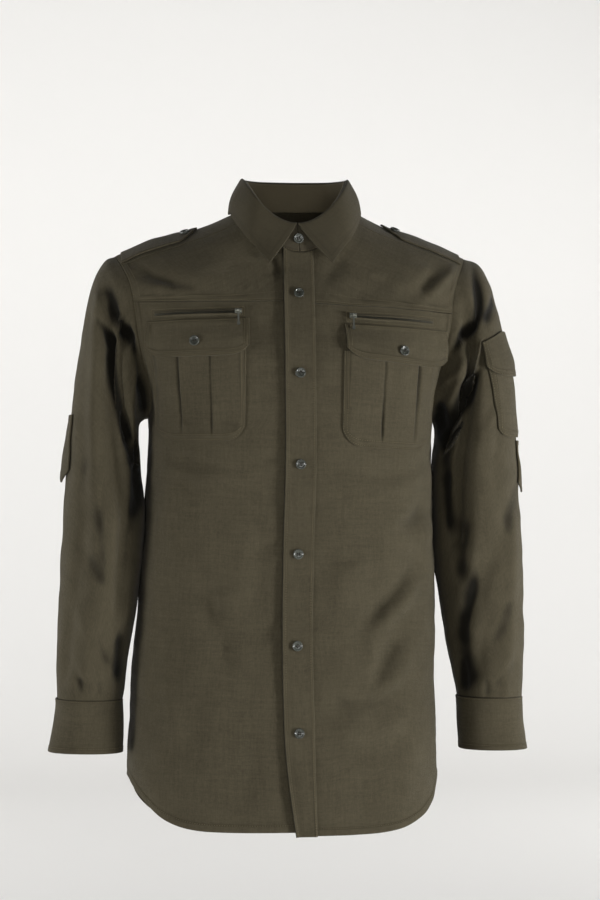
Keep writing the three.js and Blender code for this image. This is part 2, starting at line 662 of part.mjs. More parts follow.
const STAND_RISE_BACK = 36;
const STAND_RISE_FRONT = 34;
function standPoint(psi, up) {
  const [x, q] = neckRoll(psi);
  const seam = shoulder(x, q);
  const turn = (1 - Math.cos(psi)) / 2;
  const rise = lerp(STAND_RISE_BACK, STAND_RISE_FRONT, turn);
  const lean = up * 4.5;
  const away = Math.hypot(seam[0] - NECK_CENTRE_X, seam[1]);
  const shift = up * lerp(4.5, -3, turn);
  return [
    seam[0] - ((seam[0] - NECK_CENTRE_X) / away) * lean + shift,
    seam[1] - (seam[1] / away) * lean,
    seam[2] + 0.35 + rise * up,
  ];
}
const radial = (p) => {
  const away = Math.hypot(p[0] - NECK_CENTRE_X, p[1]);
  return [(p[0] - NECK_CENTRE_X) / away, p[1] / away, 0];
};
function neckAngles() {
  const angles = [];
  for (let k = 0; k < NECK_FRONT_COLUMNS; k += 1) {
    angles.push(-180 + NECK_FRONT_STEP * k + (k === 0 ? 0.15 : 0));
  }
  for (let k = 0; k <= NECK_BACK_COLUMNS; k += 1) {
    angles.push(lerp(-NECK_SEAM_ANGLE, NECK_SEAM_ANGLE, k / NECK_BACK_COLUMNS));
  }
  for (let k = 1; k <= NECK_FRONT_COLUMNS; k += 1) {
    angles.push(NECK_SEAM_ANGLE + NECK_FRONT_STEP * k - (k === NECK_FRONT_COLUMNS ? 0.15 : 0));
  }
  return angles;
}
function collarStand() {
  const angles = neckAngles();
  const columns = angles.length - 1;
  const at = (i, j) => {
    const psi = rad(angles[j]);
    const p = standPoint(psi, i / 2);
    return { p, n: radial(p) };
  };
  wall('collar_stand', 2, columns, at, -TWO_PLY, 0, OLIVE_DARK);
}

// Lower edge of the turned-down collar: angle, x from the neck's middle, y, z.
const COLLAR_EDGE = [
  [0, 0, 72, -12], [45, 59, 52, -8], [75, 80, 22, 4], [90, 84, 2, 2], [110, 82, -30, -10],
  [135, 68, -60, -34], [160, 50, -80, -56], [180, 39, -90, -70],
];
const COLLAR_LAY = 5.2;
function collarEdge(psi) {
  const bend = Math.abs(psi) * (180 / Math.PI);
  const [x, y, z] = curve(COLLAR_EDGE)(bend);
  const edge = [NECK_CENTRE_X + Math.sign(psi) * x, y, z];
  const drop = ridgeZ(edge[0]) - z;
  const side = y < 0 ? -1 : 1;
  const surface = depthAt(edge[0], z, side) * side;
  if (drop <= 3) edge[2] = ridgeZ(edge[0]) + COLLAR_LAY;
  edge[1] = side * Math.max(side * y, drop > 3 ? surface + COLLAR_LAY : 0);
  return edge;
}
function collarPoint(psi, fall) {
  const fold = standPoint(psi, 1);
  const out = radial(fold);
  const edge = collarEdge(psi);
  const roll = 1 - (1 - Math.min(fall / 0.16, 1)) ** 2;
  const reach = Math.max(0, (fall - 0.08) / 0.92);
  const over = 0.7 + 2.2 * Math.sin(Math.min(fall / 0.16, 1) * Math.PI * 0.8);
  const crest = add([fold[0], fold[1], fold[2] + over], out, 5.2 * roll);
  const drift = reach ** 1.15;
  const belly = 5 * Math.sin(Math.PI * reach) * Math.sin(Math.min(Math.abs(psi), rad(165)) / 1.1 + 0.35);
  const p = [
    lerp(crest[0], edge[0], drift) + out[0] * Math.max(0, belly),
    lerp(crest[1], edge[1], drift) + out[1] * Math.max(0, belly),
    lerp(crest[2], edge[2], reach),
  ];
  const side = p[1] < 0 ? -1 : 1;
  const cover = depthAt(p[0], p[2], side) * side;
  if (ridgeZ(p[0]) > p[2] + 1) {
    p[1] = side * Math.max(side * p[1], cover + COLLAR_LAY * smooth(reach, 0, 0.3));
  }
  return p;
}
function collar() {
  const angles = neckAngles();
  const columns = angles.length - 1;
  const falls = [0, 0.07, 0.16, 0.4, 0.7, 1];
  const at = (i, j) => {
    const psi = rad(clamp(angles[j], -179.4, 179.4));
    const fall = clamp(falls[i], 0.012, 0.99);
    const around = minus(collarPoint(psi + 0.01, fall), collarPoint(psi - 0.01, fall));
    const down = minus(collarPoint(psi, fall + 0.01), collarPoint(psi, fall - 0.01));
    return { p: collarPoint(psi, falls[i]), n: unit(cross(down, around)) };
  };
  wall('collar', falls.length - 1, columns, at, 0, TWO_PLY, OLIVE);
}

// Place among four corners: across the top and the bottom by u, then down by v.
function cornerMix(shape, u, v) {
  const { top, bottom } = shape;
  const x = lerp(lerp(top[0][0], top[1][0], u), lerp(bottom[0][0], bottom[1][0], u), v);
  const z = lerp(lerp(top[0][1], top[1][1], u), lerp(bottom[0][1], bottom[1][1], u), v);
  return [x, z];
}

// Patch pockets: corners as x and z along the top and the bottom, corner radius.
const POCKET_RIGHT = {
  top: [[-66, -178], [-182, -180]],
  bottom: [[-68, -291], [-171, -291]],
  pleats: [0.37, 0.7],
};
const POCKET_LEFT = {
  top: [[55, -180], [179, -188]],
  bottom: [[51, -297], [167, -304]],
  pleats: [0.42, 0.78],
};
const CORNER_CUT = 0.16;

// Rounds the two lower corners of a unit square so that its last row stays a smooth curve.
function roundedFoot(u, v) {
  const edge = Math.abs(u - 0.5) * 2;
  return v * (1 - CORNER_CUT * edge ** 7);
}
function pocket(hand) {
  const shape = hand < 0 ? POCKET_RIGHT : POCKET_LEFT;
  const name = hand < 0 ? 'pocket_right' : 'pocket_left';
  const spots = [0, 0.06];
  for (const pleat of shape.pleats) spots.push(pleat - 0.035, pleat, pleat + 0.035);
  const [first, second] = shape.pleats;
  spots.push((first + second) / 2, first / 2, (1 + second) / 2, 0.94, 1);
  spots.sort((a, b) => a - b);
  const rows = [0, 0.06, 0.25, 0.5, 0.75, 0.9, 0.96, 1];
  const place = (i, j) => {
    const u = spots[j];
    return cornerMix(shape, u, roundedFoot(u, rows[i]));
  };
  const at = (i, j) => {
    const [x, z] = place(i, j);
    return { p: frontPoint(x, z), n: frontNormal(x, z) };
  };
  const lift = (i, j) => {
    const edge = Math.min(spots[j], 1 - spots[j]) / 0.06;
    const foot = Math.min((1 - rows[i]) / 0.05, 1);
    const head = rows[i] < 0.05 ? 0.5 : 1;
    const swell = 2.2 * clamp(edge, 0, 1) * foot * head;
    const pleat = shape.pleats.some((spot) => Math.abs(spots[j] - spot) < 0.01) ? 1.6 * foot : 0;
    return LAY_GAP + Math.max(swell - pleat, 0);
  };
  wall(name, rows.length - 1, spots.length - 1, at, lift, (i, j) => lift(i, j) + CLOTH, OLIVE);
}

const FLAP_RIGHT = {
  top: [[-61, -140], [-185, -143]],
  bottom: [[-62, -187], [-184, -188]],
  button: [-126, -169],
};
const FLAP_LEFT = {
  top: [[57, -147], [190, -153]],
  bottom: [[58, -189], [186, -201]],
  button: [128, -180],
};
function flap(hand) {
  const shape = hand < 0 ? FLAP_RIGHT : FLAP_LEFT;
  const name = hand < 0 ? 'flap_right' : 'flap_left';
  const columns = 11;
  const rows = [0, 0.25, 0.55, 0.82, 1];
  const spots = [0, 0.04, 0.12, 0.24, 0.37, 0.5, 0.63, 0.76, 0.88, 0.96, 1];
  const at = (i, j) => {
    const u = spots[j];
    const edge = Math.abs(u - 0.5) * 2;
    const [x, z] = cornerMix(shape, u, rows[i] * (1 - 0.26 * edge ** 7));
    return { p: frontPoint(x, z), n: frontNormal(x, z) };
  };
  const lift = (i) => LAY_GAP + 4.8 * smooth(rows[i], -0.1, 0.7);
  wall(name, rows.length - 1, columns - 1, at, lift, (i) => lift(i) + TWO_PLY, OLIVE);
}

// Epaulettes: a pointed strap over the shoulder, from the armhole seam to a button near the neck.
const STRAP_SPOTS = [0, 0.1, 0.2, 0.32, 0.45, 0.58, 0.7, 0.82, 0.9, 1];
function strapPlace(hand, u, v) {
  const outer = hand < 0 ? -214 : 213;
  const tip = hand < 0 ? -118 : 113;
  const point = smooth(u, 0.86, 1);
  const roll = lerp(-0.44, 0.2, v);
  const middle = -0.13;
  const x = lerp(outer, tip, u * (1 - 0.14 * Math.abs(v - 0.5) * 2));
  return [x, lerp(roll, middle, point * 0.25 + 0.1 * u)];
}
function strapLift(u) {
  return LAY_GAP + 1.2 * Math.sin(Math.PI * clamp(u, 0, 1));
}
function epaulette(hand) {
  const name = hand < 0 ? 'epaulette_right' : 'epaulette_left';
  const columns = 6;
  const at = (i, j) => {
    const [x, q] = strapPlace(hand, STRAP_SPOTS[i], j / columns);
    return { p: shoulder(x, q), n: shoulderNormal(x, q) };
  };
  const lift = (i) => strapLift(STRAP_SPOTS[i]);
  wall(name, STRAP_SPOTS.length - 1, columns, at, lift, (i) => lift(i) + TWO_PLY, OLIVE);
}

// Buttons: a low disc with a raised rim, its back on the cloth, its axis along the cloth's normal.
function button(name, place, normal, height) {
  const n = unit(normal);
  const a = unit(cross(n, Math.abs(n[2]) < 0.9 ? [0, 0, 1] : [1, 0, 0]));
  const b = cross(n, a);
  const profile = [
    [BUTTON_RADIUS * 0.86, 0],
    [BUTTON_RADIUS, BUTTON_HEIGHT * 0.5],
    [BUTTON_RADIUS * 0.9, BUTTON_HEIGHT],
    [BUTTON_RADIUS * 0.6, BUTTON_HEIGHT * 0.62],
  ];
  const base = add(place, n, height);
  const points = [base, add(base, n, BUTTON_HEIGHT * 0.62)];
  const faces = [];
  for (const [radius, up] of profile) {
    for (let k = 0; k < BUTTON_SIDES; k += 1) {
      const turn = (k / BUTTON_SIDES) * Math.PI * 2;
      points.push(add(add(add(base, n, up), a, radius * Math.cos(turn)), b, radius * Math.sin(turn)));
    }
  }
  const id = (ring, k) => 2 + ring * BUTTON_SIDES + (k % BUTTON_SIDES);
  for (let k = 0; k < BUTTON_SIDES; k += 1) {
    faces.push([0, id(0, k + 1), id(0, k)], [1, id(3, k), id(3, k + 1)]);
    for (let ring = 0; ring < 3; ring += 1) {
      faces.push([id(ring, k), id(ring, k + 1), id(ring + 1, k + 1)]);
      faces.push([id(ring, k), id(ring + 1, k + 1), id(ring + 1, k)]);
    }
  }
  addMesh(name, points, faces, BUTTON_FINISH);
}
const FRONT_BUTTON_Z = [-109.4, -207.7, -319.1, -429.4, -542.3, -649.3];
function buttons() {
  const stand = standPoint(Math.PI, 0.5);
  button('button_collar', [centreFront(-35)[0], stand[1], stand[2]], radial(stand), 1.2);
  FRONT_BUTTON_Z.forEach((z, k) => {
    const x = centreFront(z)[0];
    button(`button_front_${k + 1}`, frontPoint(x, z), frontNormal(x, z), LAY_GAP + TWO_PLY + 0.5);
  });
  for (const hand of [-1, 1]) {
    const side = hand < 0 ? 'right' : 'left';
    const [fx, fz] = (hand < 0 ? FLAP_RIGHT : FLAP_LEFT).button;
    button(`button_flap_${side}`, frontPoint(fx, fz), frontNormal(fx, fz), LAY_GAP + 4.8 + TWO_PLY + 0.6);
    const [sx, sq] = strapPlace(hand, 0.86, 0.36);
    const strapTop = strapLift(0.86) + TWO_PLY + 0.7;
    button(`button_strap_${side}`, shoulder(sx, sq), shoulderNormal(sx, sq), strapTop);
    const surface = cuffSurface(hand);
    const centre = sleeveInside(hand)(SLEEVE_STEPS);
    const phi = rad(-96);
    const p = surface(33, phi);
    const n = normalOf(surface, 33, phi, 0.5, 0.02, (q) => [centre[0], centre[1], q[2]]);
    button(`button_cuff_${side}`, p, n, TWO_PLY + 0.9 + TWO_PLY - 1.0 + 0.6);
  }
}

// Chest zips: the ends of each closed row of teeth, its pull at the end nearer the middle.
const ZIP_RIGHT = { inner: [-70.5, -132], outer: [-176, -135] };
const ZIP_LEFT = { inner: [63.5, -137], outer: [172, -143] };
const TAPE_HALF = 3.6;
const TAPE_THICK = 1.2;
function zipPlace(hand, along, across) {
  const zip = hand < 0 ? ZIP_RIGHT : ZIP_LEFT;
  return [lerp(zip.inner[0], zip.outer[0], along), lerp(zip.inner[1], zip.outer[1], along) + across];
}
function zip(hand) {
  const name = hand < 0 ? 'zip_right' : 'zip_left';
  const at = (i, j) => {
    const [x, z] = zipPlace(hand, i / 9, lerp(-TAPE_HALF, TAPE_HALF, j / 2));
    return { p: frontPoint(x, z), n: frontNormal(x, z) };
  };
  wall(name, 9, 2, at, LAY_GAP, LAY_GAP + TAPE_THICK, TAPE_FINISH);
}

// Axes at a zip's pull: along the zip, out of the cloth, and down the cloth.
function pullAxes(hand) {
  const [x, z] = zipPlace(hand, 0.035, 0);
  const out = frontNormal(x, z);
  const [x2, z2] = zipPlace(hand, 0.08, 0);
  const run = minus(frontPoint(x2, z2), frontPoint(x, z));
  const along = unit(add(run, out, -dot(run, out)));
  const up = cross(out, along)[2] > 0 ? cross(out, along) : cross(along, out);
  return { base: frontPoint(x, z), along, out, up };
}
// Solid of a flat outline; the outline lies along axes a and b, its thickness runs along c.
function prism(outline, hole, origin, a, b, c, low, high) {
  const shape = new THREE.Shape(outline.map(([s, t]) => new THREE.Vector2(s, t)));
  if (hole) shape.holes.push(new THREE.Path(hole.map(([s, t]) => new THREE.Vector2(s, t))));
  const solid = new THREE.ExtrudeGeometry(shape, { depth: high - low, bevelEnabled: false, steps: 1 });
  const position = solid.getAttribute('position');
  const points = [];
  const known = new Map();
  const triangles = [];
  const turned = dot(cross(a, b), c) < 0;
  for (let k = 0; k < position.count; k += 1) {
    const place = [position.getX(k), position.getY(k), position.getZ(k)];
    const key = place.map((value) => value.toFixed(4)).join();
    if (!known.has(key)) {
      known.set(key, known.size);
      const p = add(add(origin, a, position.getX(k)), b, position.getY(k));
      points.push(...add(p, c, low + position.getZ(k)));
    }
    triangles.push(known.get(key));
  }
  if (turned) triangles.reverse();
  return new wasm.Manifold(new wasm.Mesh({
    numProp: 3,
    vertProperties: Float32Array.from(points),
    triVerts: Uint32Array.from(triangles),
  }));
}
function addSolid(name, solid, finish) {
  const mesh = solid.getMesh();
  const points = [];
  const faces = [];
  for (let k = 0; k < mesh.vertProperties.length; k += 3) {
    points.push([...mesh.vertProperties.slice(k, k + 3)]);
  }
  for (let k = 0; k < mesh.triVerts.length; k += 3) faces.push([...mesh.triVerts.slice(k, k + 3)]);
  addMesh(name, points, faces, finish);
}
const circle = (radius, count) => {
  const turns = [...Array(count).keys()].map((k) => (2 * Math.PI * k) / count);
  return turns.map((turn) => [radius * Math.cos(turn), radius * Math.sin(turn)]);
};

// Slider: a flat body with a low bridge; the pull's eye turns round the bridge's bar.
const BAR_HEIGHT = 4.3;
const BAR_HALF = 0.65;
const EYE_HOLE = 1.25;
const EYE_OUTER = 2.15;
const PULL_LENGTH = 19;
const slideBase = LAY_GAP + TAPE_THICK + 0.4;
function slider(hand) {
  const { base, along, out, up } = pullAxes(hand);
  const start = add(base, out, slideBase);
  const outline = [[-4.4, 0], [4.4, 0], [4.4, 1.3], [3.6, 1.8], [-3.6, 1.8], [-4.4, 1.3]];
  const body = prism(outline, null, start, along, out, up, -3, 3);
  const top = BAR_HEIGHT + BAR_HALF;
  const arch = prism(
    [[-3.6, 0.6], [3.6, 0.6], [3.6, top - 0.5], [3.1, top], [-3.1, top], [-3.6, top - 0.5]],
    [[-2.5, 1.2], [2.5, 1.2], [2.5, top - 1.3], [-2.5, top - 1.3]],
    start, along, out, up, -0.75, 0.75,
  );
  addSolid(hand < 0 ? 'slider_right' : 'slider_left', body.add(arch), METAL_FINISH);
}
function pull(hand) {
  const { base, along, out, up } = pullAxes(hand);
  const hinge = add(base, out, slideBase + BAR_HEIGHT);
  const eye = prism(circle(EYE_OUTER, 14), circle(EYE_HOLE, 10), hinge, out, up, along, -1.5, 1.5);
  const low = -PULL_LENGTH;
  const strip = [
    [-1.5, -1.75], [1.5, -1.75], [1.1, -3.4], [1.1, low + 4.4], [1.9, low + 3], [1.9, low + 1],
    [1, low], [-1, low], [-1.9, low + 1], [-1.9, low + 3], [-1.1, low + 4.4], [-1.1, -3.4],
  ];
  const tab = prism(strip, null, hinge, along, up, out, -0.6, 0.6);
  addSolid(hand < 0 ? 'pull_right' : 'pull_left', eye.add(tab), METAL_FINISH);
}

// Step along the sleeve at which its cloth reaches a height, for one angle round the arm.
function sleeveStep(hand, phi, z) {
  const surface = sleeveSurface(hand);
  let low = 0;
  let high = SLEEVE_STEPS;
  for (let k = 0; k < 26; k += 1) {
    const middle = (low + high) / 2;
    if (surface(middle, phi)[2] > z) low = middle;
    else high = middle;
  }
  return (low + high) / 2;
}
// Piece lying on a sleeve: "place" gives an angle in degrees and a height for each grid share.
function sleevePiece(name, hand, across, down, place, lift, thick, finish) {
  const surface = sleeveSurface(hand);
  const at = (i, j) => {
    const [angle, z] = place(across[j], down[i]);
    const phi = rad(angle);
    const step = sleeveStep(hand, phi, z);
    return { p: surface(step, phi), n: sleeveNormal(hand, step, phi) };
  };
  const base = (i, j) => lift(across[j], down[i]);
  wall(name, down.length - 1, across.length - 1, at, base, (i, j) => base(i, j) + thick, finish);
}
const shares = (count) => [...Array(count + 1).keys()].map((k) => k / count);

// Arm pocket on the left sleeve: angles of its front and back edges, heights of its top and foot.
const ARM_POCKET = { front: 71, back: -42, top: -192, foot: -286 };
const ARM_FLAP = { front: 74, back: -44, topFront: -167, topBack: -152, foot: -209 };
function armPocket() {
  const across = [0, 0.06, 0.16, 0.27, 0.38, 0.5, 0.62, 0.73, 0.84, 0.94, 1];
  const down = [0, 0.3, 0.6, 0.93, 1];
  const place = (u, v) => {
    const edge = Math.abs(u - 0.5) * 2;
    return [
      lerp(ARM_POCKET.front - 5 * v, ARM_POCKET.back, u),
      lerp(ARM_POCKET.top, ARM_POCKET.foot, v * (1 - 0.1 * edge ** 8)),
    ];
  };
  const lift = (u, v) => 0.9 + 1.6 * clamp(Math.min(u, 1 - u) / 0.06, 0, 1) * clamp((1 - v) / 0.06, 0, 1);
  sleevePiece('pocket_sleeve', 1, across, down, place, lift, CLOTH, OLIVE);
}
function armFlap() {
  const across = [0, 0.06, 0.16, 0.27, 0.38, 0.5, 0.62, 0.73, 0.84, 0.94, 1];
  const down = [0, 0.35, 0.7, 1];
  const place = (u, v) => {
    const edge = Math.abs(u - 0.5) * 2;
    const top = lerp(ARM_FLAP.topFront, ARM_FLAP.topBack, Math.min(u / 0.35, 1));
    return [lerp(ARM_FLAP.front, ARM_FLAP.back, u), lerp(top, ARM_FLAP.foot, v * (1 - 0.24 * edge ** 7))];
  };
  const lift = (u, v) => 0.9 + 4.4 * smooth(v, -0.1, 0.75);
  sleevePiece('flap_sleeve', 1, across, down, place, lift, TWO_PLY, OLIVE);
}
// Roll-up tabs: a pointed strip sewn on at its top, its free end standing off the arm.
const TABS = { right: { top: -258, foot: -343, off: 4.6 }, left: { top: -290, foot: -356, off: 3.2 } };
function tab(hand) {
  const side = hand < 0 ? 'right' : 'left';
  const { top, foot, off } = TABS[side];
  const place = (u, v) => [lerp(19, -16, u), lerp(top, foot, v * (1 - 0.22 * (Math.abs(u - 0.5) * 2)))];
  const lift = (u, v) => LAY_GAP + off * smooth(v, 0.05, 0.9);
  sleevePiece(`tab_${side}`, hand, shares(4), shares(6), place, lift, TWO_PLY, OLIVE);
}
function sleevePlacket(hand) {
  const side = hand < 0 ? 'right' : 'left';
  const place = (u, v) => [lerp(-82, -106, u), lerp(-484, -608, v)];
  sleevePiece(`sleeve_placket_${side}`, hand, shares(3), shares(7), place, () => 0.8, CLOTH, OLIVE);
}

frontPanel(-1);
frontPanel(1);
backPanel();
frontYoke(-1);
frontYoke(1);
backYoke();
sleeve(-1);
sleeve(1);
cuff(-1);
cuff(1);
placket();
collarStand();
collar();
for (const hand of [-1, 1]) {
  pocket(hand);
  flap(hand);
  epaulette(hand);
  zip(hand);
  slider(hand);
  pull(hand);
  tab(hand);
  sleevePlacket(hand);
}
armPocket();
armFlap();
buttons();

export default parts;
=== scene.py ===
"""A long-sleeved safari shirt in olive-brown twill, worn and filled out with nobody in it.

Lengths are millimetres until a mesh is made, and metres in the meshes. X runs to the wearer's
left, -Y to the front and +Z up; "right" and "left" are the wearer's. Every cloth piece is a thin
shell between two heights over one smooth form, so pieces that meet or lie on each other share
their folds.
"""

import logging
import math
from dataclasses import dataclass, field
from enum import Enum
from typing import Callable, Iterable, Sequence

import bpy
import numpy as np
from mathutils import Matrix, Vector


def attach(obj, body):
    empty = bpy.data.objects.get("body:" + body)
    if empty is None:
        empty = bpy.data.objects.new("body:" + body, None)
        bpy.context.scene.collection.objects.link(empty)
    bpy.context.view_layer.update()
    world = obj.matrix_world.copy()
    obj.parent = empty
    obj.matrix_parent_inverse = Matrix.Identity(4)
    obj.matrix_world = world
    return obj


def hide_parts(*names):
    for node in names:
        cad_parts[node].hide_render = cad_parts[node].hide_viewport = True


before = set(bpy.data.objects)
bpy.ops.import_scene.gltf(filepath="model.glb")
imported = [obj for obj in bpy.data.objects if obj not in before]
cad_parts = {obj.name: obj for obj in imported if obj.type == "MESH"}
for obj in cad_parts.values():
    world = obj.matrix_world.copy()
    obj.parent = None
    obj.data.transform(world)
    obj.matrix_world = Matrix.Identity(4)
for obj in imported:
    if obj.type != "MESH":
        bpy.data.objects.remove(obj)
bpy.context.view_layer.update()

log = logging.getLogger("safari_shirt")
Array = np.ndarray
Value = np.ndarray | float
Input = bpy.types.NodeSocket | float | tuple
Ends = tuple[tuple[float, float], tuple[float, float]]

MM = 0.001
SHIRT = "shirt"
CLOTH = 1.3
TWO_PLY = 1.9
SEAM_GAP = 0.3
LAY_GAP = 0.55

SECTION_POWER = 2.5
SHOULDER_ROUND = 66.0
UNDERARM_Z = -262.0
TIP_Z = -58.0
SIDE_HEM_Z = -712.0
FRONT_HEM_Z = {-1: -771.0, 1: -775.5}
BACK_HEM_Z = -782.0
BACK_YOKE_Z = -98.0
FRONT_LAP = 16.0
PLACKET_HALF = 19.5

NECK_CENTRE_X = 5.0
NECK_HALF = 68.0
NECK_BACK_Z = 4.0
NECK_DROP = 60.0
NECK_SEAM_ANGLE = 113.0
FRONT_BUTTON_Z = (-109.4, -207.7, -319.1, -429.4, -542.3, -649.3)

# Body sections: height, half width, depth to the front, depth to the back, sideways shift.
BODY = (
    (-800, 197, 125, 118, -10),
    (-680, 195.5, 124, 116, -10),
    (-600, 192.5, 122, 111, -9),
    (-520, 189, 121, 105, -6),
    (-440, 185.5, 123, 102, -3),
    (-360, 181.5, 127, 106, -1.5),
    (-302, 179.5, 130, 113, -1),
    (-262, 179, 130, 118, -0.5),
    (-235, 182, 129, 120, -0.5),
    (-190, 197, 123, 121, -0.5),
    (-150, 215, 112, 118, 0),
    (-118, 230, 101, 113, 0),
    (-95, 240, 92, 107, 0),
    (-56, 255, 74, 92, 0),
    (0, 262, 60, 62, 0),
    (60, 262, 55, 58, 0),
)
# Shoulder line: distance from the middle, height.
RIDGE = ((0, 54), (40, 34), (68, 4), (80, -3), (115, -19), (150, -31), (190, -45), (222, -58), (260, -75))
# Armhole seam: height, angle round the body in degrees.
ARMHOLE = (
    (-262, 90), (-258, 85.5), (-250, 81.5), (-235, 77), (-215, 74.6), (-190, 71), (-150, 63.5),
    (-118, 58), (-95, 55.6), (-75, 55.8), (-58, 57.4),
)
# Middle of the button stand: height, sideways place.
CENTRE_FRONT = (
    (-800, 3), (-773, 2), (-650, -1.2), (-542, -3.2), (-429, -2.4), (-319, 0), (-208, 0), (-109, 1),
    (-33, 3.5), (0, 4),
)
# Main soft folds of the body: x and z of each end, half width, height.
FRONT_FOLDS = (
    (138, -425, 80, -520, 15, -4),
    (118, -395, 60, -470, 18, 3),
    (126, -525, 78, -602, 15, -3.5),
    (98, -560, 60, -660, 18, 3),
    (30, -635, 120, -660, 14, -3),
    (-118, -420, -92, -545, 18, -3.5),
    (-70, -430, -84, -560, 16, 3),
    (-160, -340, -150, -640, 16, 3),
    (158, -330, 168, -560, 16, -3),
    (-190, -70, -120, -108, 12, -2.5),
    (198, -74, 140, -112, 12, -2.5),
)
BACK_FOLDS = (
    (-120, -180, -80, -420, 22, -4),
    (118, -170, 86, -430, 22, -4),
    (-40, -330, -60, -640, 24, 4),
    (52, -340, 40, -660, 24, 4),
    (-130, -450, -120, -700, 20, 4),
    (132, -470, 124, -700, 20, 4),
    (0, -380, 6, -560, 20, -4),
)
# Sleeve rings: step, outer x and z, inner x and z, depth to the front and back, middle y.
SLEEVE = {
    -1: (
        (0, 222, -58, 178.6, -262, 62, 68, 0),
        (1, 236, -66, 186, -265.5, 63, 68, 0),
        (2, 250, -92, 191, -271, 64, 67, 0),
        (3, 260, -136, 192, -284, 65, 66, -1),
        (4, 269, -195, 191, -304, 65, 65, -2),
        (5, 278, -262, 189, -336, 63, 64, -3),
        (6, 284.5, -345, 185.0, -386, 61, 61, -6),
        (7, 291, -462, 191.6, -470, 57, 57, -12),
        (8, 296, -559, 205.5, -556, 50, 50, -18),
        (9, 296, -612, 214, -613, 42, 42, -22),
    ),
    1: (
        (0, 222, -58, 177.6, -262, 62, 68, 0),
        (1, 242, -65, 184, -268, 64, 68, 0),
        (2, 257, -90, 187, -281, 66, 67, 0),
        (3, 268, -136, 185.5, -298, 66, 66, -1),
        (4, 279, -192, 182.5, -320, 65, 65, -2),
        (5, 287, -262, 180.2, -356, 63, 64, -3),
        (6, 293, -355, 181.3, -410, 60, 61, -6),
        (7, 297, -471, 187.4, -475, 56, 57, -12),
        (8, 296, -559, 200, -552, 50, 50, -18),
        (9, 293, -614, 211, -613, 42, 42, -22),
    ),
}
SLEEVE_STEPS = 9
# Main sleeve folds: ring step and angle of each end, half width, height; 0 is outside, 90 in front.
SLEEVE_FOLDS = {
    -1: (
        (0.3, 78, 4.1, 128, 10, -8),
        (0.6, 118, 4.6, 148, 9, 5),
        (1.6, 70, 7.2, 118, 12, -7),
        (2.2, 44, 6.6, 82, 13, 4),
        (6.4, 60, 8.6, 40, 14, -4),
        (6.2, 96, 8.6, 78, 13, 3.5),
        (2.0, -80, 6.0, -120, 14, -5),
        (6.2, -50, 8.6, -80, 14, -4),
    ),
    1: (
        (0.3, 66, 3.2, 112, 10, -8),
        (2.4, 86, 3.8, 132, 9, 6),
        (3.0, 96, 6.2, 128, 11, -9),
        (4.6, 80, 6.6, 104, 12, 4),
        (6.6, 82, 8.7, 118, 13, -5),
        (6.4, 50, 8.6, 72, 14, 3.5),
        (2.0, -84, 6.0, -122, 14, -5),
        (6.2, -52, 8.6, -82, 14, -4),
    ),
}
# Cuff sections: height below the sleeve seam, outer x, inner x, depth, middle y.
CUFF = {
    -1: ((0, 296, 214, 42, -22), (30, 299, 213, 40, -23), (66, 305.5, 214, 38, -24)),
    1: ((0, 293, 211, 42, -22), (30, 295, 212, 40, -23), (66, 299.5, 214.5, 38, -24)),
}
CUFF_TOP = {-1: (-612.0, -613.0), 1: (-614.0, -613.0)}
CUFF_DEPTH = 66.0
CUFF_LAP = 20.0
STAND_RISE_BACK = 36.0
STAND_RISE_FRONT = 34.0
# Lower edge of the turned-down collar: angle, x from the neck's middle, y, z.
COLLAR_EDGE = (
    (0, 0, 72, -12), (45, 59, 52, -8), (75, 80, 22, 4), (90, 84, 2, 2), (110, 82, -30, -10),
    (135, 68, -60, -34), (160, 50, -80, -56), (180, 39, -90, -70),
)
COLLAR_OFF = 1.7

# The camera's place: it looks level at TARGET from VIEW_TURN degrees off the front.
TARGET = (12.77, -1.3, -302.0)
VIEW_DISTANCE = 3500.0
VIEW_TURN = -6.0
VIEW_LENS = 110.2


def side_name(hand: int) -> str:
    """The wearer's side in the names of pieces: left where hand is 1, right where it is -1."""
    return "left" if hand > 0 else "right"


def lattice(rows: Array, columns: Array) -> list[Array]:
    """Rows and columns spread over a grid that has a row for each of the first."""
    return np.meshgrid(rows, columns, indexing="ij")


def stitch_lines(distances: Sequence[float], *borders: str) -> tuple[tuple[str, float], ...]:
    """Stitch rows at the same distances in from each of some borders of a piece."""
    return tuple((border, distance) for border in borders for distance in distances)


def lerp(a: Value, b: Value, t: Value) -> Value:
    """Straight mix of a and b, t from 0 to 1."""
    return a + (b - a) * t


def smooth(x: Value, low: Value, high: Value) -> Value:
    """Smooth step of x from 0 at low to 1 at high."""
    t = np.clip((x - low) / (high - low), 0, 1)
    return t * t * (3 - 2 * t)


def signed_power(x: Value, exponent: float) -> Value:
    """Power of the size of x, with its sign kept."""
    return np.sign(x) * np.abs(x) ** exponent


def unit(v: Array) -> Array:
    """Vectors along the last axis, made one long."""
    return v / np.maximum(np.linalg.norm(v, axis=-1, keepdims=True), 1e-12)


def points(x: Value, y: Value, z: Value) -> Array:
    """Stacks three arrays of one shape as points."""
    return np.stack(np.broadcast_arrays(x, y, z), axis=-1).astype(float)


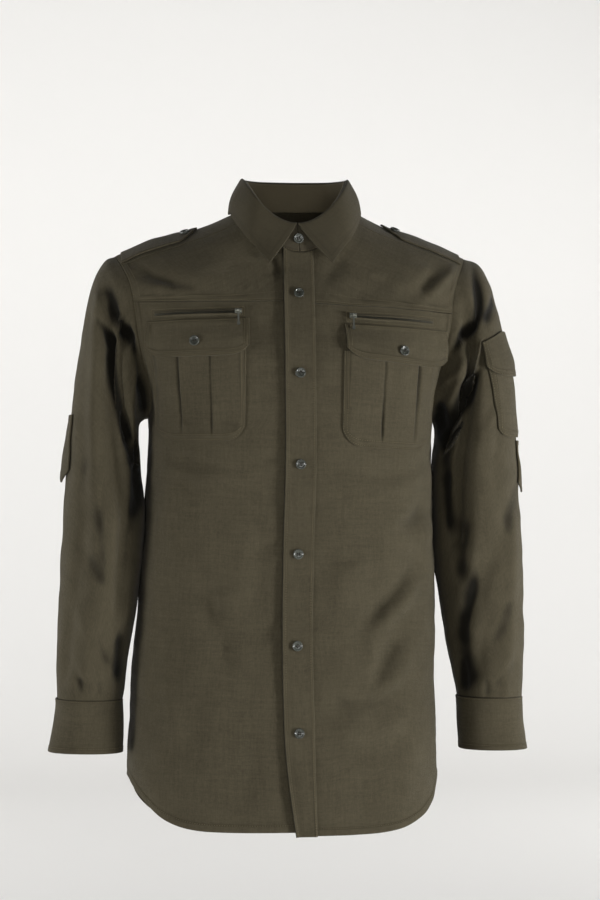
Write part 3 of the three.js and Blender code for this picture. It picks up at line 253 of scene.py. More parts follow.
class Curve:
    """Smooth curve through the rows of a table, whose first column is the argument."""

    def __init__(self, rows: Sequence[Sequence[float]]) -> None:
        """Works out the slope at each row from its two neighbours.

        Args:
            rows: the table, in rising order of its first column.
        """
        table = np.array(rows, float)
        self.x, self.y = table[:, 0], table[:, 1:]
        k = np.arange(len(table))
        before, after = np.maximum(k - 1, 0), np.minimum(k + 1, len(table) - 1)
        self.slope = (self.y[after] - self.y[before]) / (self.x[after] - self.x[before])[:, None]

    def __call__(self, value: Value) -> Array:
        """Cubic through the rows on both sides of each value.

        Args:
            value: an array of arguments; past the table's ends the end row holds.

        Returns:
            The columns along a new last axis.
        """
        v = np.clip(np.asarray(value, float), self.x[0], self.x[-1])
        k = np.clip(np.searchsorted(self.x, v, side="left") - 1, 0, len(self.x) - 2)
        step = (self.x[k + 1] - self.x[k])[..., None]
        t = (v - self.x[k])[..., None] / step
        return (
            self.y[k] * (1 - t) ** 2 * (1 + 2 * t)
            + self.slope[k] * step * t * (1 - t) ** 2
            + self.y[k + 1] * t * t * (3 - 2 * t)
            - self.slope[k + 1] * step * t * t * (1 - t)
        )


BODY_CURVE = Curve(BODY)
RIDGE_CURVE = Curve(RIDGE)
ARMHOLE_CURVE = Curve(ARMHOLE)
CENTRE_CURVE = Curve(CENTRE_FRONT)
COLLAR_CURVE = Curve(COLLAR_EDGE)


def main_folds(rows: Sequence[Sequence[float]], a: Array, b: Array, scale_a: float, scale_b: float) -> Array:
    """Height of straight soft folds: each is a bell across its line that fades past both ends.

    Args:
        rows: two ends, half width and height of each fold.
        a: first coordinate of each place.
        b: second coordinate of each place.
        scale_a: millimetres in one unit of a.
        scale_b: millimetres in one unit of b.

    Returns:
        The sum of the folds' heights.
    """
    height = np.zeros(np.broadcast(a, b).shape)
    for a0, b0, a1, b1, width, rise in rows:
        ua, ub = (a1 - a0) * scale_a, (b1 - b0) * scale_b
        length = math.hypot(ua, ub)
        pa, pb = (a - a0) * scale_a, (b - b0) * scale_b
        along = (pa * ua + pb * ub) / length
        beside = (pa * ub - pb * ua) / length
        over = np.maximum(np.maximum(-along, along - length), 0)
        height = height + rise * np.exp(-((beside / width) ** 2) - (over / (width * 1.4)) ** 2)
    return height


@dataclass(frozen=True)
class Crease:
    """One given fold: a path over the cloth with a width and a height.

    lean above 0 makes the side on the left of the path's direction steeper, below 0 the right one.
    """

    path: tuple[tuple[float, float], ...]
    width: float
    rise: float
    lean: float = 0.0

    def height(self, a: Array, b: Array) -> Array:
        """Bell across the path, narrower on its steep side, rising from nothing at both ends.

        Args:
            a: first coordinate of each place, in mm.
            b: second coordinate of each place, in mm.

        Returns:
            The fold's height at each place.
        """
        knots = np.array(self.path, float)
        fine = np.linspace(0, len(knots) - 1, 6 * (len(knots) - 1) + 1)
        line = Curve(np.column_stack([np.arange(len(knots)), knots]))(fine)
        starts, runs = line[:-1], np.diff(line, axis=0)
        lengths = np.maximum(np.linalg.norm(runs, axis=1), 1e-6)
        before = np.concatenate([[0], np.cumsum(lengths)])
        best = np.full(np.shape(a), 1e9)
        along, beside = np.zeros(np.shape(a)), np.zeros(np.shape(a))
        for (sa, sb), (ra, rb), size, passed in zip(starts, runs, lengths, before):
            t = np.clip(((a - sa) * ra + (b - sb) * rb) / size**2, 0, 1)
            da, db = a - sa - t * ra, b - sb - t * rb
            away = np.hypot(da, db)
            near = away < best
            best = np.where(near, away, best)
            along = np.where(near, passed + t * size, along)
            beside = np.where(near, np.sign(ra * db - rb * da) * away, beside)
        total = before[-1]
        width = self.width * np.where(beside > 0, 1 - self.lean, 1 + self.lean)
        ends = np.minimum(along, total - along) / (0.3 * total)
        taper = 0.25 + 0.75 * smooth(ends, 0, 1)
        return self.rise * taper * np.exp(-((best / width) ** 2)) * (best < 1e8)


def height_of(creases: Iterable[Crease], a: Array, b: Array) -> Array:
    """Sum of the heights of several creases at the places (a, b)."""
    total = np.zeros(np.shape(a))
    for crease in creases:
        total += crease.height(a, b)
    return total


class Unevenness:
    """Slow random rise and fall of worn cloth: a seeded sum of plain waves in three dimensions."""

    def __init__(self, seed: int, waves: int, shortest: float, longest: float, size: float) -> None:
        """Draws the directions, lengths and phases of the waves.

        Args:
            seed: seed of the generator, so that each run gives the same cloth.
            waves: number of waves.
            shortest: shortest wavelength, in mm.
            longest: longest wavelength, in mm.
            size: height of the sum, in mm.
        """
        rng = np.random.default_rng(seed)
        length = np.exp(rng.uniform(math.log(shortest), math.log(longest), waves))
        self.k = unit(rng.normal(size=(waves, 3))) * (2 * math.pi / length)[:, None]
        self.phase = rng.uniform(0, 2 * math.pi, waves)
        self.weight = size * (length / longest) ** 0.7 / math.sqrt(waves / 2)

    def __call__(self, p: Array) -> Array:
        """Height at each point of p."""
        total = np.zeros(p.shape[:-1])
        for k, phase, weight in zip(self.k, self.phase, self.weight):
            total += weight * np.sin(p @ k + phase)
        return total


def front_plane(p: Array) -> tuple[Array, Array]:
    """Where each point shows, seen from the front camera, in mm on the upright plane through its target.

    Args:
        p: points in mm.

    Returns:
        The sideways place and the height on that plane.
    """
    turn = math.radians(VIEW_TURN)
    back = np.array([math.sin(turn), -math.cos(turn), 0.0])
    right = np.array([math.cos(turn), math.sin(turn), 0.0])
    away = p - np.array(TARGET)
    scale = VIEW_DISTANCE / (VIEW_DISTANCE - away @ back)
    return (away @ right) * scale, away[..., 2] * scale + TARGET[2]


@dataclass(frozen=True)
class Relief:
    """Small folds of one part of the shirt: those seen from the front, and those behind."""

    front: tuple[Crease, ...]
    back: tuple[Crease, ...]
    uneven: Unevenness

    def height(self, p: Array, n: Array) -> Array:
        """Front creases where the cloth faces forward, back ones where it faces back, and unevenness.

        Args:
            p: points of the smooth form.
            n: its outward normals.

        Returns:
            Height along the normal at each point.
        """
        u, w = front_plane(p)
        ahead = smooth(-n[..., 1], 0.05, 0.4)
        behind = smooth(n[..., 1], 0.05, 0.4)
        creases = height_of(self.front, u, w) * ahead + height_of(self.back, p[..., 0], p[..., 2]) * behind
        return creases + self.uneven(p)


# ---- forms of the body -------------------------------------------------------------------------


def ridge_z(x: Array) -> Array:
    """Height of the shoulder line at a sideways place."""
    size = np.abs(x)
    return RIDGE_CURVE(np.abs(x - NECK_CENTRE_X * (1 - smooth(size, 80, 200))))[..., 0]


def roundness(drop: Array) -> Array:
    """Share of the full depth at a drop below the shoulder line: a quarter circle, then 1."""
    inside = np.clip(1 - np.clip(drop, 0, None) / SHOULDER_ROUND, 0, 1)
    return np.sqrt(1 - inside**2)


def drop_of(q: Array) -> Array:
    """Drop below the shoulder line at a roll q over it, 1 at the end of the quarter circle."""
    size = np.abs(q)
    return np.where(
        size < 1,
        SHOULDER_ROUND * (1 - np.cos(np.minimum(size, 1) * math.pi / 2)),
        SHOULDER_ROUND * (1 + (size - 1) * math.pi / 2),
    )


def roll_of(drop: Array) -> Array:
    """Roll over the shoulder at a drop below its line."""
    share = np.clip(drop, 0, None) / SHOULDER_ROUND
    rounded = np.arccos(np.clip(1 - share, -1, 1)) / (math.pi / 2)
    return np.where(share < 1, rounded, 1 + (share - 1) / (math.pi / 2))


def body_sections(z: Array) -> tuple[Array, Array, Array, Array]:
    """Half width, depth to the front, depth to the back and sideways shift at a height."""
    table = BODY_CURVE(z)
    return table[..., 0], table[..., 1], table[..., 2], table[..., 3]


def depth_at(x: Array, z: Array, side: Array, folds_share: Value = 1.0) -> Array:
    """Depth of the cloth at (x, z): superellipse section times the shoulder's roundness, plus folds."""
    half, front, back, shift = body_sections(z)
    share = np.minimum(np.abs((x - shift) / half), 0.99999)
    section = (1 - share**SECTION_POWER) ** (1 / SECTION_POWER)
    side = np.broadcast_to(side, np.shape(section))
    full = np.where(side < 0, front, back)
    folds = np.where(side < 0, main_folds(FRONT_FOLDS, x, z, 1, 1), main_folds(BACK_FOLDS, x, z, 1, 1))
    return side * section * (full * roundness(ridge_z(x) - z) + folds * folds_share)


def front_form(x: Array, z: Array) -> Array:
    """Point of the front of the body at a place seen from the front."""
    return points(x, depth_at(x, z, -1.0), z)


def barrel(theta: Array, z: Array) -> Array:
    """Point of the body at an angle round it, 0 in front and 90 degrees at the left side, and a height."""
    half, front, back, shift = body_sections(z)
    x = shift + half * signed_power(np.sin(theta), 2 / SECTION_POWER)
    side = np.where(np.cos(theta) > 0, -1.0, 1.0)
    section = np.abs(np.cos(theta)) ** (2 / SECTION_POWER)
    full = np.where(side < 0, front, back)
    folds = np.where(side < 0, main_folds(FRONT_FOLDS, x, z, 1, 1), main_folds(BACK_FOLDS, x, z, 1, 1))
    return points(x, side * section * (full * roundness(ridge_z(x) - z) + folds), z)


def shoulder_form(x: Array, q: Array) -> Array:
    """Point near the shoulder: roll q is 0 on the shoulder line, negative in front, positive behind."""
    z = ridge_z(x) - drop_of(q)
    size = np.minimum(np.abs(q), 1)
    half, front, back, shift = body_sections(z)
    share = np.minimum(np.abs((x - shift) / half), 0.99999)
    section = (1 - share**SECTION_POWER) ** (1 / SECTION_POWER)
    side = np.where(q < 0, -1.0, 1.0)
    full = np.where(side < 0, front, back)
    folds = np.where(side < 0, main_folds(FRONT_FOLDS, x, z, 1, 1), main_folds(BACK_FOLDS, x, z, 1, 1))
    return points(x, side * section * (full * np.sin(size * math.pi / 2) + folds * size), z)


def body_inside(p: Array) -> Array:
    """A point inside the body for each point on it."""
    return points(p[..., 0] * 0.5, 0.0, p[..., 2] - 60)


Form = Callable[[Array, Array], Array]


def normals(
    form: Form, a: Array, b: Array, step_a: float, step_b: float, inside: Callable[[Array], Array]
) -> Array:
    """Outward normals of a form, from small steps along its two parameters.

    Args:
        form: point as a function of two parameters.
        a: first parameter.
        b: second parameter.
        step_a: step of a.
        step_b: step of b.
        inside: gives a point on the inner side for each point.

    Returns:
        Unit normals that point away from the inner side.
    """
    da = form(a + step_a, b) - form(a - step_a, b)
    db = form(a, b + step_b) - form(a, b - step_b)
    n = unit(np.cross(da, db))
    p = form(a, b)
    turn = np.sign((n * (p - inside(p))).sum(-1, keepdims=True))
    return n * np.where(turn == 0, 1, turn)


def barrel_normals(theta: Array, z: Array) -> Array:
    """Normals of the body's barrel."""
    return normals(barrel, theta, z, 0.004, 1.5, body_inside)


def shoulder_normals(x: Array, q: Array) -> Array:
    """Normals near the shoulder."""
    return normals(shoulder_form, x, q, 1.5, 0.02, body_inside)


def front_normals(x: Array, z: Array) -> Array:
    """Normals of the front of the body."""
    return normals(front_form, x, z, 1.5, 1.5, body_inside)


def centre_x(z: Array) -> Array:
    """Sideways place of the middle of the button stand."""
    return CENTRE_CURVE(z)[..., 0]


def seam_z(x: Array) -> Array:
    """Height of the front yoke's seam."""
    return np.where(np.asarray(x) > 0, -121 - 10 * (np.abs(x) / 200) ** 1.5, -118.5)


def edge_angle(z: Array, trim: float) -> Array:
    """Angle round the body at which a panel ends at the armhole seam."""
    return np.radians(ARMHOLE_CURVE(np.minimum(np.asarray(z) + trim, TIP_Z))[..., 0]) - trim / 150


def armhole_roll(q: Array, hand: int, trim: float) -> Array:
    """Sideways place on the armhole seam at a roll over the shoulder, found in a few steps."""
    x = np.full(np.shape(q), 222.0)
    for _ in range(12):
        z = ridge_z(x) - drop_of(q)
        half, _front, _back, shift = body_sections(z)
        x = hand * shift + half * np.sin(edge_angle(np.minimum(z, TIP_Z), 0)) ** (2 / SECTION_POWER)
    return hand * (x - trim)


def roll_at_height(z: float, hand: int, sign: int) -> float:
    """Roll over the shoulder at which the armhole seam reaches a height."""
    half, _front, _back, shift = body_sections(np.array(z))
    x = shift + half * np.sin(edge_angle(z, 0)) ** (2 / SECTION_POWER)
    return float(sign * roll_of(ridge_z(hand * x) - z))


def neck_place(psi: Array) -> tuple[Array, Array]:
    """Sideways place and height of the neck seam at an angle round it, 0 behind and 180 degrees in front."""
    forward = np.clip(-np.cos(psi), 0, None)
    return NECK_CENTRE_X + NECK_HALF * np.sin(psi), NECK_BACK_Z - NECK_DROP * forward**1.8


def neck_roll(psi: Array) -> tuple[Array, Array]:
    """Sideways place and roll of the neck seam."""
    x, z = neck_place(psi)
    return x, np.sign(np.cos(psi)) * roll_of(ridge_z(x) - z)


FORWARD_SEAM = float(neck_roll(np.radians(NECK_SEAM_ANGLE))[1])


def stand_point(psi: Array, up: Array) -> Array:
    """Point of the collar stand: it rises from the neck seam and leans inwards."""
    x, q = neck_roll(psi)
    seam = shoulder_form(x, q)
    turn = (1 - np.cos(psi)) / 2
    rise = lerp(STAND_RISE_BACK, STAND_RISE_FRONT, turn)
    lean = up * 4.5
    away = np.hypot(seam[..., 0] - NECK_CENTRE_X, seam[..., 1])
    shift = up * lerp(4.5, -3, turn)
    return points(
        seam[..., 0] - (seam[..., 0] - NECK_CENTRE_X) / away * lean + shift,
        seam[..., 1] - seam[..., 1] / away * lean,
        seam[..., 2] + 0.35 + rise * up,
    )


def radial(p: Array) -> Array:
    """Level directions away from the middle of the neck."""
    away = np.hypot(p[..., 0] - NECK_CENTRE_X, p[..., 1])
    return points((p[..., 0] - NECK_CENTRE_X) / away, p[..., 1] / away, 0.0)


# ---- creases -----------------------------------------------------------------------------------

BODY_FRONT_CREASES = (
    # Drag folds from the armholes over the yoke.
    Crease(((-208, -67), (-188, -79), (-168, -86), (-146, -97)), 8, -5.2, 0.25),
    Crease(((-199, -90), (-178, -95), (-152, -100), (-120, -112)), 8, 3.4),
    Crease(((-186, -108), (-150, -112), (-104, -118)), 9, -1.8),
    Crease(((198, -64), (190, -80), (178, -92), (158, -112)), 8, 5.2, 0.2),
    Crease(((172, -73), (162, -88), (150, -102)), 8, -4.4),
    Crease(((206, -92), (196, -108), (188, -122)), 6, -2.2),
    Crease(((120, -78), (98, -95), (60, -108)), 12, -1.8),
    # Troughs that shade the cloth below the collar's tips; where deep, the front yokes' colour there is also
    # painted darker.
    Crease(((60, -48), (44, -70), (30, -92)), 9, -3.2),
    Crease(((-34, -50), (-29, -66), (-24, -84)), 7, -4.6),
    Crease(((-92, -52), (-80, -78), (-66, -100)), 14, -2.4),
    # Side of the chest, below the armholes.
    Crease(((-192, -168), (-186, -200), (-182, -240), (-186, -280)), 7, -4.8, 0.2),
    Crease(((-180, -196), (-178, -230), (-184, -262)), 5, 2),
    Crease(((192, -164), (186, -196), (184, -232), (182, -262)), 6, -2.8),
    Crease(((-184, -300), (-152, -318), (-110, -322), (-74, -316)), 10, -2.8),
    Crease(((-170, -318), (-120, -336), (-82, -340)), 12, 2.4),
    Crease(((176, -300), (150, -322), (112, -334), (72, -332)), 10, -2.6),
    Crease(((170, -330), (120, -350), (70, -352)), 13, 2),
    # Long slanting folds of the hanging fronts.
    Crease(((-152, -356), (-128, -402), (-104, -470), (-92, -540)), 17, 3.6, 0.2),
    Crease(((-132, -470), (-104, -520), (-92, -566), (-70, -610)), 15, -3.8),
    Crease(((-86, -470), (-98, -520), (-104, -560)), 12, 2.4),
    Crease(((-176, -430), (-160, -500), (-156, -580), (-162, -660)), 14, -3),
    Crease(((-60, -360), (-52, -440), (-56, -520)), 13, -2.2),
    Crease(((-118, -600), (-108, -670), (-118, -740)), 18, 3.4),
    Crease(((-70, -620), (-62, -690), (-66, -760)), 15, -2.8),
    Crease(((-172, -590), (-160, -650), (-150, -706)), 12, 2.6),
    Crease(((148, -446), (128, -474), (106, -500), (84, -524)), 9, -6.4, 0.2),
    Crease(((158, -462), (134, -492), (108, -520), (90, -540)), 9, 4.6),
    Crease(((98, -400), (92, -440), (90, -486)), 14, -3.4),
    Crease(((130, -536), (112, -566), (96, -604)), 10, -5.4, 0.2),
    Crease(((146, -548), (126, -584), (104, -614)), 10, 3.6),
    Crease(((24, -612), (62, -622), (104, -618), (142, -602)), 13, -5.6, 0.25),
    Crease(((26, -652), (66, -660), (110, -656), (136, -640)), 15, 6.0),
    Crease(((172, -372), (148, -392), (122, -404)), 12, -5.0, 0.2),
    Crease(((176, -396), (150, -416), (124, -428)), 12, 3.2),
    Crease(((26, -676), (72, -690), (118, -690)), 11, -3.2),
    Crease(((152, -350), (146, -420), (152, -500)), 14, -2.8),
    Crease(((60, -380), (52, -450), (56, -530)), 14, 2.2),
    Crease(((150, -640), (138, -700), (128, -760)), 15, 3),
    Crease(((88, -700), (82, -740), (92, -780)), 14, -2.6),
    # Cloth raised round the zips.
    Crease(((-66, -125), (-120, -127), (-181, -129)), 2.4, 0.9),
    Crease(((-66, -139), (-120, -141), (-181, -143)), 2.4, 0.8),
    Crease(((58, -130), (115, -132), (178, -137)), 2.4, 0.9),
    Crease(((60, -144), (115, -147), (178, -152)), 2.4, 0.8),
    # Small puckers at the foot of the pockets.
    Crease(((-100, -262), (-88, -266), (-76, -268)), 3.2, -1.7),
    Crease(((-148, -260), (-140, -266), (-133, -268)), 3.0, -1.4),
    Crease(((72, -282), (82, -296), (94, -298)), 3.4, -1.5),
    Crease(((134, -286), (144, -296), (156, -294)), 3.2, -1.4),
    Crease(((-150, -304), (-140, -312), (-122, -312)), 3.6, -1.4),
    Crease(((-112, -310), (-100, -318), (-84, -314)), 4.0, 1.3),
    Crease(((98, -312), (110, -320), (130, -318)), 4.0, -1.4),
    # Short pulls beside the button stand.
    Crease(((-18, -196), (-40, -200), (-62, -196)), 6, -1.3),
    Crease(((-22, -308), (-48, -316), (-70, -308)), 8, -2),
    Crease(((-24, -420), (-52, -430), (-80, -424)), 9, -2.2),
    Crease(((-24, -528), (-50, -540), (-72, -538)), 9, -2),
    Crease(((20, -318), (44, -330), (66, -326)), 8, -1.8),
    Crease(((20, -424), (50, -440), (80, -436)), 9, -2.4),
    Crease(((18, -540), (42, -552), (66, -548)), 9, -2),
)
BODY_BACK_CREASES = (
    Crease(((-190, -120), (-168, -150), (-140, -172), (-96, -190)), 11, -4.5, 0.2),
    Crease(((-176, -104), (-150, -126), (-118, -144)), 10, 3),
    Crease(((192, -118), (170, -148), (140, -176), (104, -186)), 11, -4.2, 0.2),
    Crease(((180, -100), (152, -122), (120, -138)), 10, 2.8),
    Crease(((-150, -210), (-128, -262), (-118, -330)), 15, 3.3),
    Crease(((-104, -220), (-92, -290), (-88, -360)), 14, -3),
    Crease(((148, -214), (130, -270), (118, -346)), 15, 3.2),
    Crease(((98, -224), (88, -300), (92, -372)), 14, -2.8),
    Crease(((-40, -240), (-30, -340), (-34, -450)), 20, 2.7),
    Crease(((34, -232), (28, -330), (38, -430)), 20, -2.4),
    Crease(((-150, -380), (-110, -420), (-60, -440), (-10, -446)), 15, -3.4, 0.2),
    Crease(((-132, -420), (-90, -452), (-42, -468)), 14, 2.7),
    Crease(((150, -392), (108, -430), (58, -446)), 15, -3.3),
    Crease(((128, -440), (84, -468), (36, -476)), 14, 2.5),
    Crease(((-128, -500), (-112, -590), (-120, -690)), 20, 3),
    Crease(((-72, -520), (-62, -620), (-70, -730)), 18, -2.8),
    Crease(((0, -530), (-6, -630), (4, -750)), 22, 2.5),
    Crease(((66, -520), (72, -620), (64, -720)), 18, -2.7),
    Crease(((126, -500), (116, -590), (126, -690)), 20, 2.8),
)
RIGHT_SLEEVE_CREASES = (
    # Deep folds that run from the armhole down the front of the arm.
    Crease(((-244, -104), (-234, -127), (-217, -155), (-202, -177), (-190, -212)), 7, -9.0, 0.3),
    Crease(
        (
            (-258, -136), (-243, -151), (-236, -170), (-236, -188),
            (-233, -214), (-230, -240), (-222, -276), (-213, -316),
        ),
        6, -11.0, 0.35,
    ),
    Crease(((-225, -158), (-224, -196), (-224, -236), (-220, -270)), 5, 3.6),
    Crease(((-248, -85), (-239, -106), (-226, -124)), 8, -3.0),
    Crease(((-200, -200), (-194, -236), (-194, -262)), 8, -10.0, 0.2),
    Crease(((-206, -268), (-204, -310), (-204, -352), (-208, -400)), 8, -7.5),
    Crease(((-214, -340), (-218, -390), (-222, -440), (-226, -500)), 9, -3.6),
    Crease(((-258, -180), (-262, -240), (-266, -300)), 9, 2.4),
    Crease(((-272, -250), (-276, -320), (-276, -380)), 8, -2.4),
    Crease(((-258, -365), (-250, -420), (-246, -480)), 12, -4.0),
    Crease(((-236, -345), (-238, -410), (-236, -470)), 10, 2.6),
    Crease(((-276, -420), (-262, -455), (-246, -478)), 9, -2.8),
    Crease(((-290, -480), (-276, -520), (-256, -548)), 9, 2.3),
    Crease(((-226, -520), (-228, -560), (-230, -610)), 9, -4.6),
    Crease(((-262, -520), (-250, -560), (-236, -584)), 9, -2.8),
    Crease(((-296, -560), (-284, -590), (-268, -612)), 8, -2.2),
    Crease(((-282, -588), (-280, -604), (-278, -618)), 5, -1.9),
    Crease(((-254, -590), (-254, -606), (-255, -618)), 5, -2.0),
)
LEFT_SLEEVE_CREASES = (
    Crease(((217, -65), (225, -84), (230, -115), (221, -142), (198, -170), (185, -184)), 7, -8.0, 0.25),
    Crease(((256, -98), (247, -118), (236, -145)), 7, -5.6, 0.2),
    Crease(((225, -175), (211, -186), (200, -205), (176, -218), (170, -227)), 5.5, 4.2),
    Crease(((225, -186), (206, -212), (189, -243), (181, -264)), 6, 3.6),
    Crease(((225, -189), (215, -222), (200, -259), (189, -289), (183, -313)), 10, -9.5, 0.1),
    Crease(((180, -236), (176, -262), (177, -296)), 9, -8.0),
    Crease(((228, -200), (232, -250), (226, -300), (218, -350)), 8, 3.2),
    Crease(((184, -310), (186, -350), (192, -420)), 9, -6.0),
    Crease(((262, -150), (268, -200), (270, -250)), 9, 1.6),
    Crease(((276, -330), (268, -380), (262, -430)), 10, -2.6),
    Crease(((240, -340), (244, -400), (240, -460)), 11, 2.6),
    Crease(((210, -380), (206, -430), (202, -480)), 10, -4.2),
    Crease(((206, -520), (214, -566), (218, -612)), 12, -5.0),
    Crease(((229, -442), (216, -500), (200, -556)), 11, -4.6, 0.2),
    Crease(((256, -430), (240, -490), (222, -552)), 11, 3.0),
    Crease(((276, -480), (262, -520), (240, -560)), 10, -2.8),
    Crease(((280, -560), (262, -590), (244, -608)), 9, -2.4),
    Crease(((204, -560), (206, -590), (206, -612)), 7, -3.6),
    Crease(((236, -588), (238, -606), (238, -620)), 5, -2.0),
    Crease(((264, -590), (262, -606), (262, -620)), 5, 1.8),
)


def sleeve_back(hand: int) -> tuple[Crease, ...]:
    """Creases behind one sleeve, in sideways place and height: elbow folds and pulls to the armhole."""
    paths = (
        (((214, -110), (226, -150), (238, -200)), 9, -3.0),
        (((204, -150), (214, -190), (220, -240)), 8, 2.2),
        (((200, -300), (226, -322), (256, -330)), 8, -3.2),
        (((204, -340), (232, -352), (262, -346)), 8, 2.4),
        (((206, -380), (236, -392), (266, -384)), 9, -2.8),
        (((226, -420), (232, -480), (240, -540)), 10, 2.0),
        (((256, -400), (262, -470), (268, -540)), 10, -1.9),
        (((238, -560), (240, -590), (242, -616)), 6, -1.6),
        (((270, -570), (272, -596), (272, -616)), 6, 1.4),
    )
    shift = 6.0 if hand < 0 else 0.0
    return tuple(
        Crease(tuple((hand * (x + shift), z - 2 * shift) for x, z in path), width, rise)
        for path, width, rise in paths
    )


BODY_RELIEF = Relief(BODY_FRONT_CREASES, BODY_BACK_CREASES, Unevenness(3, 34, 20, 120, 1.0))
SLEEVE_RELIEF = {
    -1: Relief(RIGHT_SLEEVE_CREASES, sleeve_back(-1), Unevenness(11, 30, 22, 110, 0.8)),
    1: Relief(LEFT_SLEEVE_CREASES, sleeve_back(1), Unevenness(12, 30, 22, 110, 0.8)),
}


# ---- meshes ------------------------------------------------------------------------------------


def stations(length: float, step: float, first: Sequence[float] = (), last: Sequence[float] = ()) -> Array:
    """Shares from 0 to 1 of a length: close together at the rims and at stitch lines, else a step apart.

    Args:
        length: the length in mm.
        step: the usual distance between stations.
        first: distances of stitch lines from the start.
        last: distances of stitch lines from the end.

    Returns:
        The stations, rising from 0 to 1.
    """
    wanted = [0.0, 0.4, 1.1, length - 1.1, length - 0.4, length]
    for d in first:
        wanted += [d - 1.0, d, d + 1.0]
    for d in last:
        wanted += [length - d - 1.0, length - d, length - d + 1.0]
    fixed = np.unique(np.round([w for w in wanted if 0 <= w <= length], 3))
    plain = np.linspace(0, length, max(2, round(length / step)) + 1)
    away = np.abs(plain[:, None] - fixed[None]).min(1)
    every = np.sort(np.concatenate([fixed, plain[away > step * 0.45]]))
    return every / length


def run_lengths(p: Array, axis: int) -> Array:
    """Length travelled along an axis of a grid of points, from its first row or column."""
    step = np.linalg.norm(np.diff(p, axis=axis), axis=-1)
    pad = [(0, 0), (0, 0)]
    pad[axis] = (1, 0)
    return np.pad(np.cumsum(step, axis=axis), pad)


@dataclass
class Grid:
    """Cloth on a grid: places, outward normals, the shell's two heights, and marks for the finish.

    stitches names the sides that are sewn (top, foot, first, last) with each line's distance in mm.
    """

    p: Array
    n: Array
    low: Array
    high: Array
    wrap: bool = False
    stitches: tuple[tuple[str, float], ...] = ()
    groove: float = 0.32
    rim: float = 0.9
    # slit and fold mark painted shade: the finish darkens the colour towards near black along gaps, pleat
    # channels, the button stand's free edge and deep creases.
    slit: Array | None = None
    fold: Array | None = None
    turned: float = 0.5

    def along(self) -> tuple[Array, Array]:
        """Lengths along the columns and along the rows, measured from the middle of the grid."""
        u, v = run_lengths(self.p, 1), run_lengths(self.p, 0)
        return u - u[:, u.shape[1] // 2][:, None], v

    def sides(self) -> dict[str, Array]:
        """Distance in mm of each place from each side, along the grid's lines."""
        u, v = run_lengths(self.p, 1), run_lengths(self.p, 0)
        return {"top": v, "foot": v[-1:] - v, "first": u, "last": u[:, -1:] - u}

    def edge(self) -> Array:
        """Distance in mm to the nearest edge of the piece, along the grid's lines."""
        sides = self.sides()
        d = np.minimum(sides["top"], sides["foot"])
        if not self.wrap:
            d = np.minimum(d, np.minimum(sides["first"], sides["last"]))
        return d

    def inside_others(self, side: str, distance: float) -> Array:
        """True where a line at a distance from one side has not yet crossed those of the other sides."""
        sides = self.sides()
        allowed = np.ones(self.p.shape[:2], bool)
        for other in {name for name, _d in self.stitches} - {side}:
            lines = sorted(d for name, d in self.stitches if name == other)
            mine = sorted(d for name, d in self.stitches if name == side)
            limit = lines[min(mine.index(distance), len(lines) - 1)]
            allowed &= sides[other] >= limit - 0.6
        return allowed

    def grooves(self) -> Array:
        """Share from 0 to 1 by which each place lies in a stitch line's groove."""
        sides = self.sides()
        mask = np.zeros(self.p.shape[:2])
        for side, distance in self.stitches:
            line = np.exp(-(((sides[side] - distance) / 0.85) ** 2))
            mask = np.maximum(mask, line * self.inside_others(side, distance))
        return mask

    def seams(self) -> Array:
        """Extra height of the cloth turned in at the sewn sides, with a small pucker at each stitch or two.

        Returns:
            A step from each sewn side to its furthest stitch line, plus a bell round that line times a sine
            along it whose length wanders.
        """
        sides = self.sides()
        step, pucker = np.zeros(self.p.shape[:2]), np.zeros(self.p.shape[:2])
        for side in {name for name, _distance in self.stitches}:
            reach = max(distance for name, distance in self.stitches if name == side)
            run = sides["first"] if side in ("top", "foot") else sides["top"]
            away = sides[side]
            step = np.maximum(step, 1 - smooth(away, reach + 0.4, reach + 1.8))
            wave = np.sin(run / 1.25 + 2.2 * np.sin(run / 9.7)) * (0.6 + 0.4 * np.sin(run / 23.0 + reach))
            pucker += np.exp(-(((away - reach) / 2.6) ** 2)) * wave
        return self.turned * step + 0.13 * pucker

    def stitch_paths(self) -> list[tuple[Array, Array]]:
        """Points and normals along each stitch line, on the cloth's outer face."""
        sides = self.sides()
        outer = self.p + self.n * (self.high + self.seams() - self.groove * 0.6)[..., None]
        paths = []
        for side, distance in self.stitches:
            allowed = self.inside_others(side, distance)
            if side in ("top", "foot"):
                k = int(np.abs(sides[side][:, sides[side].shape[1] // 2] - distance).argmin())
                keep, p, n = allowed[k], outer[k], self.n[k]
            else:
                k = int(np.abs(sides[side][sides[side].shape[0] // 2] - distance).argmin())
                keep, p, n = allowed[:, k], outer[:, k], self.n[:, k]
            if keep.sum() > 2:
                paths.append((p[keep], n[keep]))
        return paths


def mesh_object(name: str, verts: Array, faces: Array, smooth_shade: bool = True) -> bpy.types.Object:
    """Makes a mesh object from arrays, in one go for all its faces.

    Args:
        name: name of the object.
        verts: points in metres.
        faces: corner numbers, three or four a row; a row of four whose last is -1 is a triangle.
        smooth_shade: whether its faces are shaded smooth.

    Returns:
        The object, linked to the scene.
    """
    mesh = bpy.data.meshes.new(name)
    mesh.vertices.add(len(verts))
    mesh.vertices.foreach_set("co", np.asarray(verts, np.float32).ravel())
    faces = np.asarray(faces, np.int32)
    counts = (faces >= 0).sum(1)
    starts = np.concatenate([[0], np.cumsum(counts)[:-1]])
    loops = faces[faces >= 0]
    mesh.loops.add(len(loops))
    mesh.loops.foreach_set("vertex_index", loops)
    mesh.polygons.add(len(faces))
    mesh.polygons.foreach_set("loop_start", starts.astype(np.int32))
    mesh.polygons.foreach_set("use_smooth", np.full(len(faces), smooth_shade))
    mesh.update(calc_edges=True)
    mesh.validate()
    obj = bpy.data.objects.new(name, mesh)
    bpy.context.scene.collection.objects.link(obj)
    return obj


